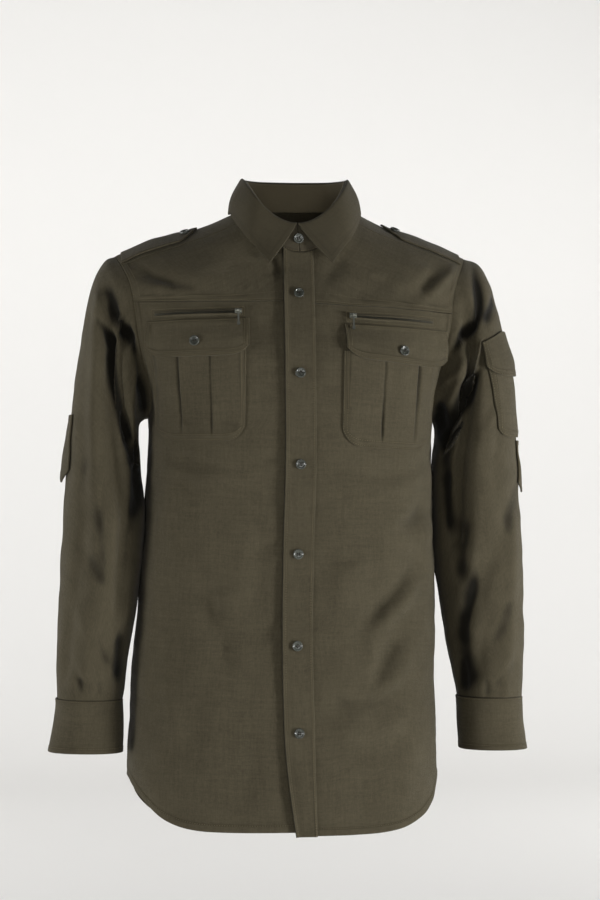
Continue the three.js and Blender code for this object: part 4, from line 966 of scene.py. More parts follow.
def set_marks(obj: bpy.types.Object, uv: Array, marks: dict[str, Array]) -> None:
    """Puts a UV map and named numbers on a mesh's vertices.

    Args:
        obj: the mesh object.
        uv: two numbers for each vertex.
        marks: a number for each vertex, by name.
    """
    mesh = obj.data
    corner = np.zeros(len(mesh.loops), np.int32)
    mesh.loops.foreach_get("vertex_index", corner)
    layer = mesh.uv_layers.new(name="cut")
    layer.data.foreach_set("uv", np.asarray(uv, np.float32)[corner].ravel())
    for key, values in marks.items():
        mark = mesh.attributes.new(key, "FLOAT", "POINT")
        mark.data.foreach_set("value", np.asarray(values, np.float32))


def grid_faces(rows: int, columns: int, wrap: bool, start: int, flip: bool) -> Array:
    """Quads of a grid of vertices numbered by rows from start."""
    i, j = lattice(np.arange(rows - 1), np.arange(columns if wrap else columns - 1))
    a, b = i * columns + j, i * columns + (j + 1) % columns
    c, d = (i + 1) * columns + (j + 1) % columns, (i + 1) * columns + j
    quads = np.stack([a, d, c, b] if flip else [a, b, c, d], -1).reshape(-1, 4)
    return quads + start


def shell_object(name: str, grid: Grid, material: bpy.types.Material) -> bpy.types.Object:
    """Closed thin shell on a grid, its rim rounded off by bringing both faces together at the edges.

    Args:
        name: name of the piece.
        grid: places, normals and heights.
        material: the finish.

    Returns:
        The mesh object, in metres.
    """
    rows, columns = grid.p.shape[:2]
    edge, groove = grid.edge(), grid.grooves()
    middle, half = (grid.low + grid.high) / 2, (grid.high - grid.low) / 2
    fill = 0.35 + 0.65 * np.sqrt(1 - (1 - np.clip(edge / grid.rim, 0, 1)) ** 2)
    top = grid.p + grid.n * (middle + half * fill + grid.seams() - grid.groove * groove)[..., None]
    bottom = grid.p + grid.n * (middle - half * fill)[..., None]
    count = rows * columns
    centre = (rows // 2, columns // 2)
    across = grid.p[centre[0], (centre[1] + 1) % columns] - grid.p[centre]
    upper = min(centre[0], rows - 2)
    down = grid.p[upper + 1, centre[1]] - grid.p[upper, centre[1]]
    flip = float(np.dot(np.cross(across, down), grid.n[centre])) < 0
    faces = [
        grid_faces(rows, columns, grid.wrap, 0, flip),
        grid_faces(rows, columns, grid.wrap, count, not flip),
    ]

    def rim(line: Array, turned: bool) -> Array:
        """Quads between the top and bottom vertices of one border line."""
        a, b = line[:-1], line[1:]
        quads = np.stack([a, a + count, b + count, b], -1)
        return quads[:, ::-1] if turned else quads

    number = np.arange(count).reshape(rows, columns)
    closed = (lambda line: np.append(line, line[0])) if grid.wrap else (lambda line: line)
    faces.append(rim(closed(number[0]), flip))
    faces.append(rim(closed(number[-1]), not flip))
    if not grid.wrap:
        faces.append(rim(number[:, 0], not flip))
        faces.append(rim(number[:, -1], flip))
    obj = mesh_object(
        name, np.concatenate([top.reshape(-1, 3), bottom.reshape(-1, 3)]) * MM, np.concatenate(faces)
    )
    u, v = grid.along()
    uv = np.column_stack([u.ravel(), v.ravel()]) * MM
    inner = np.concatenate([np.zeros(count), np.ones(count)])
    # The slit and fold marks carry painted shade to the finish.
    slit = np.zeros(grid.p.shape[:2]) if grid.slit is None else grid.slit
    fold = np.zeros(grid.p.shape[:2]) if grid.fold is None else grid.fold
    marks = {
        "edge": np.tile(edge.ravel(), 2),
        "inner": inner,
        "groove": np.tile(groove.ravel(), 2),
        "slit": np.tile(slit.ravel(), 2),
        "fold": np.tile(fold.ravel(), 2),
    }
    set_marks(obj, np.concatenate([uv, uv]), marks)
    obj.data.materials.append(material)
    return obj


@dataclass
class Thread:
    """Rows of stitches: each stitch is a small spindle lying on the cloth."""

    name: str
    material: bpy.types.Material
    pitch: float = 3.1
    width: float = 0.6
    share: float = 0.72
    lines: list[tuple[Array, Array]] = field(default_factory=list)

    def add(self, p: Array, n: Array) -> None:
        """Adds a line of stitches along points with normals, in mm."""
        self.lines.append((np.asarray(p, float), np.asarray(n, float)))

    def build(self) -> bpy.types.Object | None:
        """Cuts each line into equal stitches and makes one six-sided spindle for each.

        Returns:
            One object with all the stitches, or None where there are none.
        """
        starts, ends, ups = [], [], []
        for p, n in self.lines:
            length = np.concatenate([[0], np.cumsum(np.linalg.norm(np.diff(p, axis=0), axis=1))])
            count = max(1, int(length[-1] / self.pitch))
            at = (np.arange(count) + 0.5) * (length[-1] / count)
            half = self.pitch * self.share / 2

            def pick(values: Array, where: Array) -> Array:
                """Values of the line at given lengths along it."""
                return np.stack([np.interp(where, length, values[:, c]) for c in range(3)], -1)

            starts.append(pick(p, at - half))
            ends.append(pick(p, at + half))
            ups.append(unit(pick(n, at)))
        if not starts:
            return None
        a, b, up = np.concatenate(starts), np.concatenate(ends), np.concatenate(ups)
        run = unit(b - a)
        side = unit(np.cross(run, up))
        turn = np.arange(4) * (math.pi / 2)
        ring = self.width / 2 * (
            side[:, None] * np.cos(turn)[None, :, None] + up[:, None] * np.sin(turn)[None, :, None] * 0.8
        )
        base = up * 0.1
        rows = [a - up * 0.12, None, None, b - up * 0.12]
        verts = np.concatenate(
            [
                (rows[0] + base)[:, None],
                lerp(a, b, 0.25)[:, None] + base[:, None] + ring,
                lerp(a, b, 0.75)[:, None] + base[:, None] + ring,
                (rows[3] + base)[:, None],
            ],
            axis=1,
        )
        k = np.arange(4)
        nxt = (k + 1) % 4
        minus = np.full(4, -1)
        one = np.concatenate(
            [
                np.stack([np.zeros(4, int), 1 + nxt, 1 + k, minus], -1),
                np.stack([1 + k, 1 + nxt, 5 + nxt, 5 + k], -1),
                np.stack([5 + k, 5 + nxt, np.full(4, 9), minus], -1),
            ]
        )
        shift = (np.arange(len(a)) * 10)[:, None, None]
        faces = np.where(one[None] < 0, -1, one[None] + shift).reshape(-1, 4)
        obj = mesh_object(self.name, verts.reshape(-1, 3) * MM, faces)
        obj.data.materials.append(self.material)
        return obj


# ---- finishes ----------------------------------------------------------------------------------


class NodeKit:
    """Short calls for making nodes and links in one node tree."""

    def __init__(self, tree: bpy.types.NodeTree) -> None:
        """Keeps the tree that nodes are added to."""
        self.tree = tree

    def node(self, kind: str, inputs: dict | None = None, **settings) -> bpy.types.Node:
        """Adds a node, sets its properties, and links or sets its inputs by name or number."""
        made = self.tree.nodes.new(kind)
        for key, value in settings.items():
            setattr(made, key, value)
        for key, value in (inputs or {}).items():
            if isinstance(value, bpy.types.NodeSocket):
                self.tree.links.new(value, made.inputs[key])
            else:
                made.inputs[key].default_value = value
        return made

    def math(
        self, operation: str, a: Input, b: Input = 0.0, c: Input = 0.0, clamp: bool = False
    ) -> bpy.types.NodeSocket:
        """Output of a Math node on two or three values or sockets."""
        made = self.node("ShaderNodeMath", {0: a, 1: b, 2: c}, operation=operation, use_clamp=clamp)
        return made.outputs[0]

    def noise(
        self, vector: Input, scale: float, detail: float = 2.0, roughness: float = 0.5
    ) -> bpy.types.NodeSocket:
        """Value of a noise texture."""
        made = self.node(
            "ShaderNodeTexNoise", {"Vector": vector, "Scale": scale, "Detail": detail, "Roughness": roughness}
        )
        return made.outputs["Fac"]

    def spread(
        self, value: Input, low: float, high: float, to_low: float = 0.0, to_high: float = 1.0
    ) -> bpy.types.NodeSocket:
        """Output of a Map Range node, clamped."""
        ends = {0: value, 1: low, 2: high, 3: to_low, 4: to_high}
        return self.node("ShaderNodeMapRange", ends, clamp=True).outputs[0]

    def mix(self, share: Input, a: Input, b: Input) -> bpy.types.NodeSocket:
        """Mix of two colours.

        Args:
            share: share of the second.
            a: first colour or socket.
            b: second colour or socket.

        Returns:
            The mixed colour's socket.
        """
        made = self.node("ShaderNodeMix", data_type="RGBA")
        for socket, value in ((made.inputs[0], share), (made.inputs[6], a), (made.inputs[7], b)):
            if isinstance(value, bpy.types.NodeSocket):
                self.tree.links.new(value, socket)
            else:
                socket.default_value = value
        return made.outputs[2]


def new_group(
    name: str, ins: Sequence[tuple[str, str, float]], outs: Sequence[str]
) -> tuple[NodeKit, dict, bpy.types.Node]:
    """Starts a shader node group with named inputs and outputs.

    Args:
        name: name of the group.
        ins: name, socket type and default value of each input.
        outs: names of the outputs, which are all single values.
    """
    tree = bpy.data.node_groups.new(name, "ShaderNodeTree")
    for label, kind, value in ins:
        socket = tree.interface.new_socket(label, in_out="INPUT", socket_type=kind)
        if kind == "NodeSocketFloat":
            socket.default_value = value
    for label in outs:
        tree.interface.new_socket(label, in_out="OUTPUT", socket_type="NodeSocketFloat")
    kit = NodeKit(tree)
    start = kit.node("NodeGroupInput")
    end = kit.node("NodeGroupOutput")
    return kit, {s.name: s for s in start.outputs if s.name}, end


class SharedEffects:
    """Node groups that more than one finish uses: twill weave, mottle and rubbed edges."""

    def __init__(self) -> None:
        """Builds each group once."""
        self.twill = self._twill()
        self.mottle = self._mottle()
        self.wear = self._wear()

    @staticmethod
    def _twill() -> bpy.types.NodeTree:
        """Twill weave on the cut's own map: slanting ridges a pitch apart, crossed by finer threads."""
        kit, ins, end = new_group(
            "twill_weave",
            [("Vector", "NodeSocketVector", 0), ("Pitch", "NodeSocketFloat", 0.9)],
            ["Height", "Thread", "Slub"],
        )
        split = kit.node("ShaderNodeSeparateXYZ", {0: ins["Vector"]})
        x = kit.math("MULTIPLY", split.outputs[0], 1000.0)
        y = kit.math("MULTIPLY", split.outputs[1], 1000.0)
        wander = kit.noise(ins["Vector"], 260.0, 2.0, 0.6)
        slant = kit.math("ADD", kit.math("MULTIPLY", x, 0.82), kit.math("MULTIPLY", y, 0.57))
        slant = kit.math("ADD", slant, kit.math("MULTIPLY", wander, 0.9))
        ridge = kit.math("SINE", kit.math("MULTIPLY", kit.math("DIVIDE", slant, ins["Pitch"]), 2 * math.pi))
        cross = kit.math("SUBTRACT", kit.math("MULTIPLY", x, 0.57), kit.math("MULTIPLY", y, 0.82))
        bead_pitch = kit.math("MULTIPLY", ins["Pitch"], 0.62)
        bead = kit.math("SINE", kit.math("MULTIPLY", kit.math("DIVIDE", cross, bead_pitch), 2 * math.pi))
        height = kit.math("ADD", kit.math("MULTIPLY", ridge, 0.6), kit.math("MULTIPLY", bead, 0.25))
        yarn = kit.node("ShaderNodeMapping", {"Vector": ins["Vector"], "Scale": (900.0, 160.0, 1.0)})
        slub = kit.noise(yarn.outputs[0], 1.0, 3.0, 0.65)
        weft = kit.node("ShaderNodeMapping", {"Vector": ins["Vector"], "Scale": (170.0, 950.0, 1.0)})
        slub_two = kit.noise(weft.outputs[0], 1.0, 3.0, 0.65)
        thread = kit.math("MULTIPLY", kit.math("ADD", slub, slub_two), 0.5)
        warp = kit.node("ShaderNodeMapping", {"Vector": ins["Vector"], "Scale": (330.0, 22.0, 1.0)})
        fill = kit.node("ShaderNodeMapping", {"Vector": ins["Vector"], "Scale": (24.0, 300.0, 1.0)})
        streaks = kit.math(
            "ADD", kit.noise(warp.outputs[0], 1.0, 3.0, 0.6), kit.noise(fill.outputs[0], 1.0, 3.0, 0.6)
        )
        kit.tree.links.new(height, end.inputs[0])
        kit.tree.links.new(thread, end.inputs[1])
        kit.tree.links.new(kit.math("MULTIPLY", streaks, 0.5), end.inputs[2])
        return kit.tree

    @staticmethod
    def _mottle() -> bpy.types.NodeTree:
        """Uneven dye: broad and middle-sized soft patches on object coordinates."""
        kit, ins, end = new_group(
            "uneven_dye", [("Vector", "NodeSocketVector", 0), ("Scale", "NodeSocketFloat", 1.0)], ["Shade"]
        )
        scaled = kit.node("ShaderNodeVectorMath", {0: ins["Vector"], 3: ins["Scale"]}, operation="SCALE")
        broad = kit.noise(scaled.outputs[0], 7.0, 2.0, 0.5)
        middle = kit.noise(scaled.outputs[0], 42.0, 3.0, 0.6)
        fine = kit.noise(scaled.outputs[0], 330.0, 2.0, 0.6)
        shade = kit.math("ADD", kit.math("MULTIPLY", broad, 0.45), kit.math("MULTIPLY", middle, 0.35))
        shade = kit.math("ADD", shade, kit.math("MULTIPLY", fine, 0.2))
        kit.tree.links.new(shade, end.inputs[0])
        return kit.tree

    @staticmethod
    def _wear() -> bpy.types.NodeTree:
        """Rubbed edges: strongest at the edge, fading in a few millimetres, broken up by noise."""
        kit, ins, end = new_group(
            "rubbed_edge",
            [
                ("Vector", "NodeSocketVector", 0),
                ("Edge", "NodeSocketFloat", 10.0),
                ("Reach", "NodeSocketFloat", 2.5),
            ],
            ["Rubbed"],
        )
        near = kit.math("SUBTRACT", 1.0, kit.math("DIVIDE", ins["Edge"], ins["Reach"]), clamp=True)
        broken = kit.spread(kit.noise(ins["Vector"], 210.0, 3.0, 0.65), 0.36, 0.66)
        kit.tree.links.new(kit.math("MULTIPLY", near, broken), end.inputs[0])
        return kit.tree


def start_material(name: str) -> tuple[bpy.types.Material, NodeKit, bpy.types.Node]:
    """Makes a node material with a bare Principled shader.

    Args:
        name: name of the finish.

    Returns:
        The material, a kit for its tree, and its shader.
    """
    material = bpy.data.materials.new(name)
    material.use_nodes = True
    material.node_tree.nodes.clear()
    kit = NodeKit(material.node_tree)
    shader = kit.node("ShaderNodeBsdfPrincipled")
    output = kit.node("ShaderNodeOutputMaterial")
    kit.tree.links.new(shader.outputs[0], output.inputs[0])
    return material, kit, shader


@dataclass(frozen=True)
class TwillFinish:
    """Washed cotton twill: weave and yarn from the cut's map, uneven dye, rubbed edges, darker grooves,
    painted shade in deep folds and slits.
    """

    name: str
    colour: tuple[float, float, float]
    shade: float = 0.62
    weave: float = 0.05
    pitch: float = 0.85
    sheen: float = 0.08
    # Inner faces are mixed towards inner_tone times the colour; the collar stand's 4.2 paints light onto its
    # inside.
    inner_tone: float = 0.62
    inner_mix: float = 0.6
    # Painted shade: folds and slits are mixed towards near-black copies of the colour.
    fold_shade_tone: float = 0.06
    fold_shade_mix: float = 0.93
    slit_shade_tone: float = 0.12
    slit_shade_mix: float = 0.9

    def build(self, shared: SharedEffects) -> bpy.types.Material:
        """Makes the material.

        Args:
            shared: the node groups that finishes share.

        Returns:
            The material.
        """
        material, kit, shader = start_material(self.name)
        place = kit.node("ShaderNodeTexCoord")
        cut = kit.node("ShaderNodeUVMap", uv_map="cut").outputs[0]
        twill = kit.node("ShaderNodeGroup", node_tree=shared.twill)
        kit.tree.links.new(cut, twill.inputs["Vector"])
        twill.inputs["Pitch"].default_value = self.pitch
        dye = kit.node("ShaderNodeGroup", node_tree=shared.mottle)
        kit.tree.links.new(place.outputs["Object"], dye.inputs["Vector"])
        edge = kit.node("ShaderNodeAttribute", attribute_name="edge").outputs["Fac"]
        groove = kit.node("ShaderNodeAttribute", attribute_name="groove").outputs["Fac"]
        inner = kit.node("ShaderNodeAttribute", attribute_name="inner").outputs["Fac"]
        wear = kit.node("ShaderNodeGroup", node_tree=shared.wear)
        kit.tree.links.new(place.outputs["Object"], wear.inputs["Vector"])
        kit.tree.links.new(edge, wear.inputs["Edge"])
        light = tuple(min(1.0, c * 1.5 + 0.012) for c in self.colour) + (1.0,)
        deep = tuple(c * self.shade for c in self.colour) + (1.0,)
        plain = self.colour + (1.0,)
        tone = kit.mix(kit.spread(dye.outputs[0], 0.33, 0.67), deep, light)
        tone = kit.mix(0.5, tone, plain)
        slub = kit.spread(twill.outputs["Slub"], 0.4, 0.6)
        tone = kit.mix(kit.math("MULTIPLY", slub, 0.24), tone, light)
        tone = kit.mix(kit.math("MULTIPLY", kit.math("SUBTRACT", 1.0, slub), 0.27), tone, deep)
        yarn = kit.spread(twill.outputs["Thread"], 0.38, 0.62, 0.0, 1.0)
        tone = kit.mix(kit.math("MULTIPLY", yarn, 0.3), tone, light)
        tone = kit.mix(kit.math("MULTIPLY", kit.math("SUBTRACT", 1.0, yarn), 0.28), tone, deep)
        tone = kit.mix(kit.math("MULTIPLY", wear.outputs[0], 0.3), tone, light)
        tone = kit.mix(kit.math("MULTIPLY", groove, 0.75), tone, deep)
        # Painted shade in deep creases.
        fold = kit.node("ShaderNodeAttribute", attribute_name="fold").outputs["Fac"]
        sunk = tuple(c * self.fold_shade_tone for c in self.colour) + (1.0,)
        tone = kit.mix(kit.math("MULTIPLY", fold, self.fold_shade_mix), tone, sunk)
        # Painted shade in slits, gaps and along the button stand's free edge.
        slit = kit.node("ShaderNodeAttribute", attribute_name="slit").outputs["Fac"]
        slit_shade_colour = tuple(c * self.slit_shade_tone for c in self.colour) + (1.0,)
        tone = kit.mix(kit.math("MULTIPLY", slit, self.slit_shade_mix), tone, slit_shade_colour)
        # Inner faces; on the collar stand this paints light onto the inside.
        turned = tuple(min(1.0, c * self.inner_tone) for c in self.colour) + (1.0,)
        tone = kit.mix(kit.math("MULTIPLY", inner, self.inner_mix), tone, turned)
        kit.tree.links.new(tone, shader.inputs["Base Color"])
        rough = kit.spread(twill.outputs["Thread"], 0.3, 0.7, 0.92, 0.78)
        kit.tree.links.new(rough, shader.inputs["Roughness"])
        shader.inputs["Sheen Weight"].default_value = self.sheen
        shader.inputs["Sheen Roughness"].default_value = 0.45
        shader.inputs["Specular IOR Level"].default_value = 0.16
        height = kit.math("ADD", twill.outputs["Height"], kit.math("MULTIPLY", twill.outputs["Thread"], 1.6))
        bump = kit.node(
            "ShaderNodeBump", {"Height": height, "Strength": 0.55, "Distance": self.weave * MM * 4}
        )
        kit.tree.links.new(bump.outputs[0], shader.inputs["Normal"])
        return material


@dataclass(frozen=True)
class ThreadFinish:
    """Sewing thread: a little lighter than the cloth, with a low gloss and uneven dye."""

    name: str
    colour: tuple[float, float, float]

    def build(self, shared: SharedEffects) -> bpy.types.Material:
        """Makes the material."""
        material, kit, shader = start_material(self.name)
        place = kit.node("ShaderNodeTexCoord")
        dye = kit.node("ShaderNodeGroup", node_tree=shared.mottle)
        kit.tree.links.new(place.outputs["Object"], dye.inputs["Vector"])
        dye.inputs["Scale"].default_value = 3.0
        low = tuple(c * 0.7 for c in self.colour) + (1.0,)
        high = tuple(min(1.0, c * 1.25) for c in self.colour) + (1.0,)
        kit.tree.links.new(
            kit.mix(kit.spread(dye.outputs[0], 0.35, 0.65), low, high), shader.inputs["Base Color"]
        )
        shader.inputs["Roughness"].default_value = 0.62
        shader.inputs["Specular IOR Level"].default_value = 0.35
        return material


@dataclass(frozen=True)
class ButtonFinish:
    """Cast button resin: dark grey-green with faint streaks, glossy, with patches of duller gloss."""

    name: str = "button_resin"
    colour: tuple[float, float, float] = (0.034, 0.037, 0.030)
    streak: tuple[float, float, float] = (0.085, 0.092, 0.075)

    def build(self, shared: SharedEffects) -> bpy.types.Material:
        """Makes the material."""
        material, kit, shader = start_material(self.name)
        place = kit.node("ShaderNodeTexCoord")
        dye = kit.node("ShaderNodeGroup", node_tree=shared.mottle)
        kit.tree.links.new(place.outputs["Object"], dye.inputs["Vector"])
        dye.inputs["Scale"].default_value = 4.0
        tone = kit.mix(kit.spread(dye.outputs[0], 0.38, 0.68), self.colour + (1.0,), self.streak + (1.0,))
        kit.tree.links.new(tone, shader.inputs["Base Color"])
        kit.tree.links.new(kit.spread(dye.outputs[0], 0.3, 0.7, 0.2, 0.36), shader.inputs["Roughness"])
        shader.inputs["Coat Weight"].default_value = 0.5
        shader.inputs["Coat Roughness"].default_value = 0.12
        scratch = kit.noise(place.outputs["Object"], 1400.0, 2.0, 0.6)
        bump = kit.node("ShaderNodeBump", {"Height": scratch, "Strength": 0.12, "Distance": 0.00005})
        kit.tree.links.new(bump.outputs[0], shader.inputs["Normal"])
        return material


@dataclass(frozen=True)
class MetalFinish:
    """Plated zip metal: grey with fine scratches and duller patches."""

    name: str
    colour: tuple[float, float, float]
    rough: tuple[float, float] = (0.26, 0.46)

    def build(self, shared: SharedEffects) -> bpy.types.Material:
        """Makes the material."""
        material, kit, shader = start_material(self.name)
        place = kit.node("ShaderNodeTexCoord")
        dye = kit.node("ShaderNodeGroup", node_tree=shared.mottle)
        kit.tree.links.new(place.outputs["Object"], dye.inputs["Vector"])
        dye.inputs["Scale"].default_value = 6.0
        low = tuple(c * 0.72 for c in self.colour) + (1.0,)
        tone = kit.mix(kit.spread(dye.outputs[0], 0.35, 0.65), low, self.colour + (1.0,))
        kit.tree.links.new(tone, shader.inputs["Base Color"])
        kit.tree.links.new(kit.spread(dye.outputs[0], 0.35, 0.65, *self.rough), shader.inputs["Roughness"])
        shader.inputs["Metallic"].default_value = 1.0
        scratch = kit.noise(place.outputs["Object"], 2200.0, 2.0, 0.6)
        bump = kit.node("ShaderNodeBump", {"Height": scratch, "Strength": 0.15, "Distance": 0.00004})
        kit.tree.links.new(bump.outputs[0], shader.inputs["Normal"])
        return material


@dataclass(frozen=True)
class Palette:
    """Every finish of the shirt, built once."""

    twill: bpy.types.Material
    twill_inside: bpy.types.Material
    thread: bpy.types.Material
    tack: bpy.types.Material
    button: bpy.types.Material
    metal: bpy.types.Material
    teeth: bpy.types.Material

    @classmethod
    def build(cls) -> "Palette":
        """Builds the shared groups and then each finish."""
        shared = SharedEffects()
        return cls(
            twill=TwillFinish("olive_twill", (0.0700, 0.0590, 0.0345)).build(shared),
            # The collar stand's inside is painted light: about three times as light as its cloth.
            twill_inside=TwillFinish(
                "olive_twill_stand_painted_light", (0.070, 0.059, 0.037), inner_tone=4.2
            ).build(shared),
            thread=ThreadFinish("seam_thread", (0.165, 0.135, 0.072)).build(shared),
            tack=ThreadFinish("tack_thread", (0.022, 0.019, 0.012)).build(shared),
            button=ButtonFinish().build(shared),
            metal=MetalFinish("zip_metal", (0.46, 0.47, 0.41)).build(shared),
            teeth=MetalFinish("zip_teeth", (0.10, 0.095, 0.075), (0.4, 0.6)).build(shared),
        )


# ---- building ----------------------------------------------------------------------------------


class Held(Enum):
    """How a sheet of cloth is held."""

    HUNG = "hung"
    LAID = "laid"
    FOLDED = "folded"


@dataclass
class Workshop:
    """Turns grids into finished pieces that ride on the shirt, and sews their stitches."""

    palette: Palette

    def ride(
        self, obj: bpy.types.Object, nodes: Sequence[str] = (), body: str = SHIRT
    ) -> bpy.types.Object:
        """Makes a piece ride on a body and stand for CAD nodes, which it hides.

        Args:
            obj: the piece.
            nodes: CAD nodes that it replaces.
            body: the body that carries it.

        Returns:
            The piece.
        """
        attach(obj, body)
        if nodes:
            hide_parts(*nodes)
        log.info("%s: %d faces", obj.name, len(obj.data.polygons))
        return obj

    def cloth(
        self,
        name: str,
        grid: Grid,
        held: Held,
        material: bpy.types.Material | None = None,
    ) -> bpy.types.Object:
        """Makes the shell of a cloth piece and sews its stitch lines.

        Args:
            name: name of the piece, which is its CAD node's with "cloth_" before it.
            grid: places and heights.
            held: how it is held; not used.
            material: the finish, where it isn't the plain twill.

        Returns:
            The piece.
        """
        obj = shell_object(f"cloth_{name}", grid, material or self.palette.twill)
        self.ride(obj, [name])
        paths = grid.stitch_paths()
        if paths:
            thread = Thread(f"stitches_{name}", self.palette.thread)
            for p, n in paths:
                thread.add(p, n)
            self.ride(thread.build())
        return obj


def laid(p: Array, n: Array, relief: Relief) -> Array:
    """Points of a form moved out by its relief."""
    return p + n * relief.height(p, n)[..., None]


def painted_fold_shade(height: Array, least: float, full: float, share: float = 1.0) -> Array:
    """Share from 0 to 1 of painted shade, by how deep the cloth lies in a fold.

    Args:
        height: height of the cloth over its smooth form, in mm.
        least: depth at which the shade starts.
        full: depth at which it is full.
        share: its strength there.

    Returns:
        share * smoothstep(-height; least, full).
    """
    return share * smooth(-height, least, full)


# ---- body --------------------------------------------------------------------------------------


@dataclass
class FrontPanel:
    """One front of the body, from the yoke seam to the hem and from the button stand to the side."""

    hand: int
    step: float = 3.2

    def grid(self) -> Grid:
        """Rows run down from the yoke seam; columns go from the stand round to the armhole and side."""
        top = float(seam_z(np.array(self.hand * 200.0)))
        above = stations(top - UNDERARM_Z, self.step, first=(1.0,))
        below = stations(UNDERARM_Z - SIDE_HEM_Z, self.step, last=(9.0,))
        heights = np.concatenate([lerp(top, UNDERARM_Z, above), lerp(UNDERARM_Z, SIDE_HEM_Z, below)[1:]])
        across = stations(232, self.step, last=(1.8, 7.6))
        h, u = lattice(heights, across)
        hem_z = FRONT_HEM_Z[self.hand]
        share = (h - top) / (SIDE_HEM_Z - top)
        outer = np.where(h > UNDERARM_Z + 1e-6, edge_angle(h, SEAM_GAP), math.pi / 2 - 0.0012)
        level = lerp(seam_z(np.array(0.0)), hem_z, share)
        half, _front, _back, shift = body_sections(level)
        middle = centre_x(level) + FRONT_LAP + self.hand * 0.2
        inner = np.arcsin(np.clip(signed_power((middle - shift) / half, SECTION_POWER / 2), -1, 1))
        theta = lerp(inner, self.hand * outer, u)
        x = barrel(theta, h)[..., 0]
        side = np.abs(np.sin(theta)) ** 5
        rise = 60.0 if self.hand < 0 else 44.0
        hem = hem_z + rise * side + (SIDE_HEM_Z - hem_z - rise) * side**4
        z = lerp(seam_z(x) - 0.2, hem, share)
        z = z + (h - z) * u**12
        p, n = barrel(theta, z), barrel_normals(theta, z)
        zero, height = np.zeros(p.shape[:2]), BODY_RELIEF.height(p, n)
        lines = (("last", 1.8), ("last", 7.6), ("foot", 9.0))
        moved = p + n * height[..., None]
        # fold paints shade into the colour where the cloth lies deep in a crease.
        return Grid(
            moved, n, zero - CLOTH, zero, stitches=lines, fold=painted_fold_shade(height, 2.5, 9.0, 0.3), turned=0.8
        )

    def build(self, shop: Workshop) -> None:
        """Makes the panel."""
        name = "front_left" if self.hand > 0 else "front_right"
        shop.cloth(name, self.grid(), Held.HUNG)


@dataclass
class BackPanel:
    """The back of the body, from the back yoke seam to the longer hem."""

    step: float = 4.0

    def grid(self) -> Grid:
        """Rows run down from the yoke seam; columns go round from the left side to the right."""
        above = stations(BACK_YOKE_Z - UNDERARM_Z, self.step, first=(1.0,))
        below = stations(UNDERARM_Z - SIDE_HEM_Z, self.step, last=(9.0,))
        heights = np.concatenate(
            [lerp(BACK_YOKE_Z, UNDERARM_Z, above), lerp(UNDERARM_Z, SIDE_HEM_Z, below)[1:]]
        )
        across = stations(440, self.step, first=(1.8, 7.6), last=(1.8, 7.6))
        h, u = lattice(heights, across)
        share = (h - BACK_YOKE_Z) / (SIDE_HEM_Z - BACK_YOKE_Z)
        outer = np.where(h > UNDERARM_Z + 1e-6, edge_angle(h, SEAM_GAP), math.pi / 2 - 0.0012)
        theta = lerp(math.pi - outer, math.pi + outer, u)
        side = np.abs(np.sin(theta)) ** 6
        hem = lerp(BACK_HEM_Z, SIDE_HEM_Z, side)
        z = lerp(BACK_YOKE_Z - 0.2, hem, share)
        z = z + (h - z) * (np.abs(u - 0.5) * 2) ** 24
        p, n = barrel(theta, z), barrel_normals(theta, z)
        zero = np.zeros(p.shape[:2])
        lines = (*stitch_lines((1.8, 7.6), "first", "last"), ("foot", 9.0))
        return Grid(laid(p, n, BODY_RELIEF), n, zero - CLOTH, zero, stitches=lines)

    def build(self, shop: Workshop) -> None:
        """Makes the panel."""
        shop.cloth("back", self.grid(), Held.HUNG)


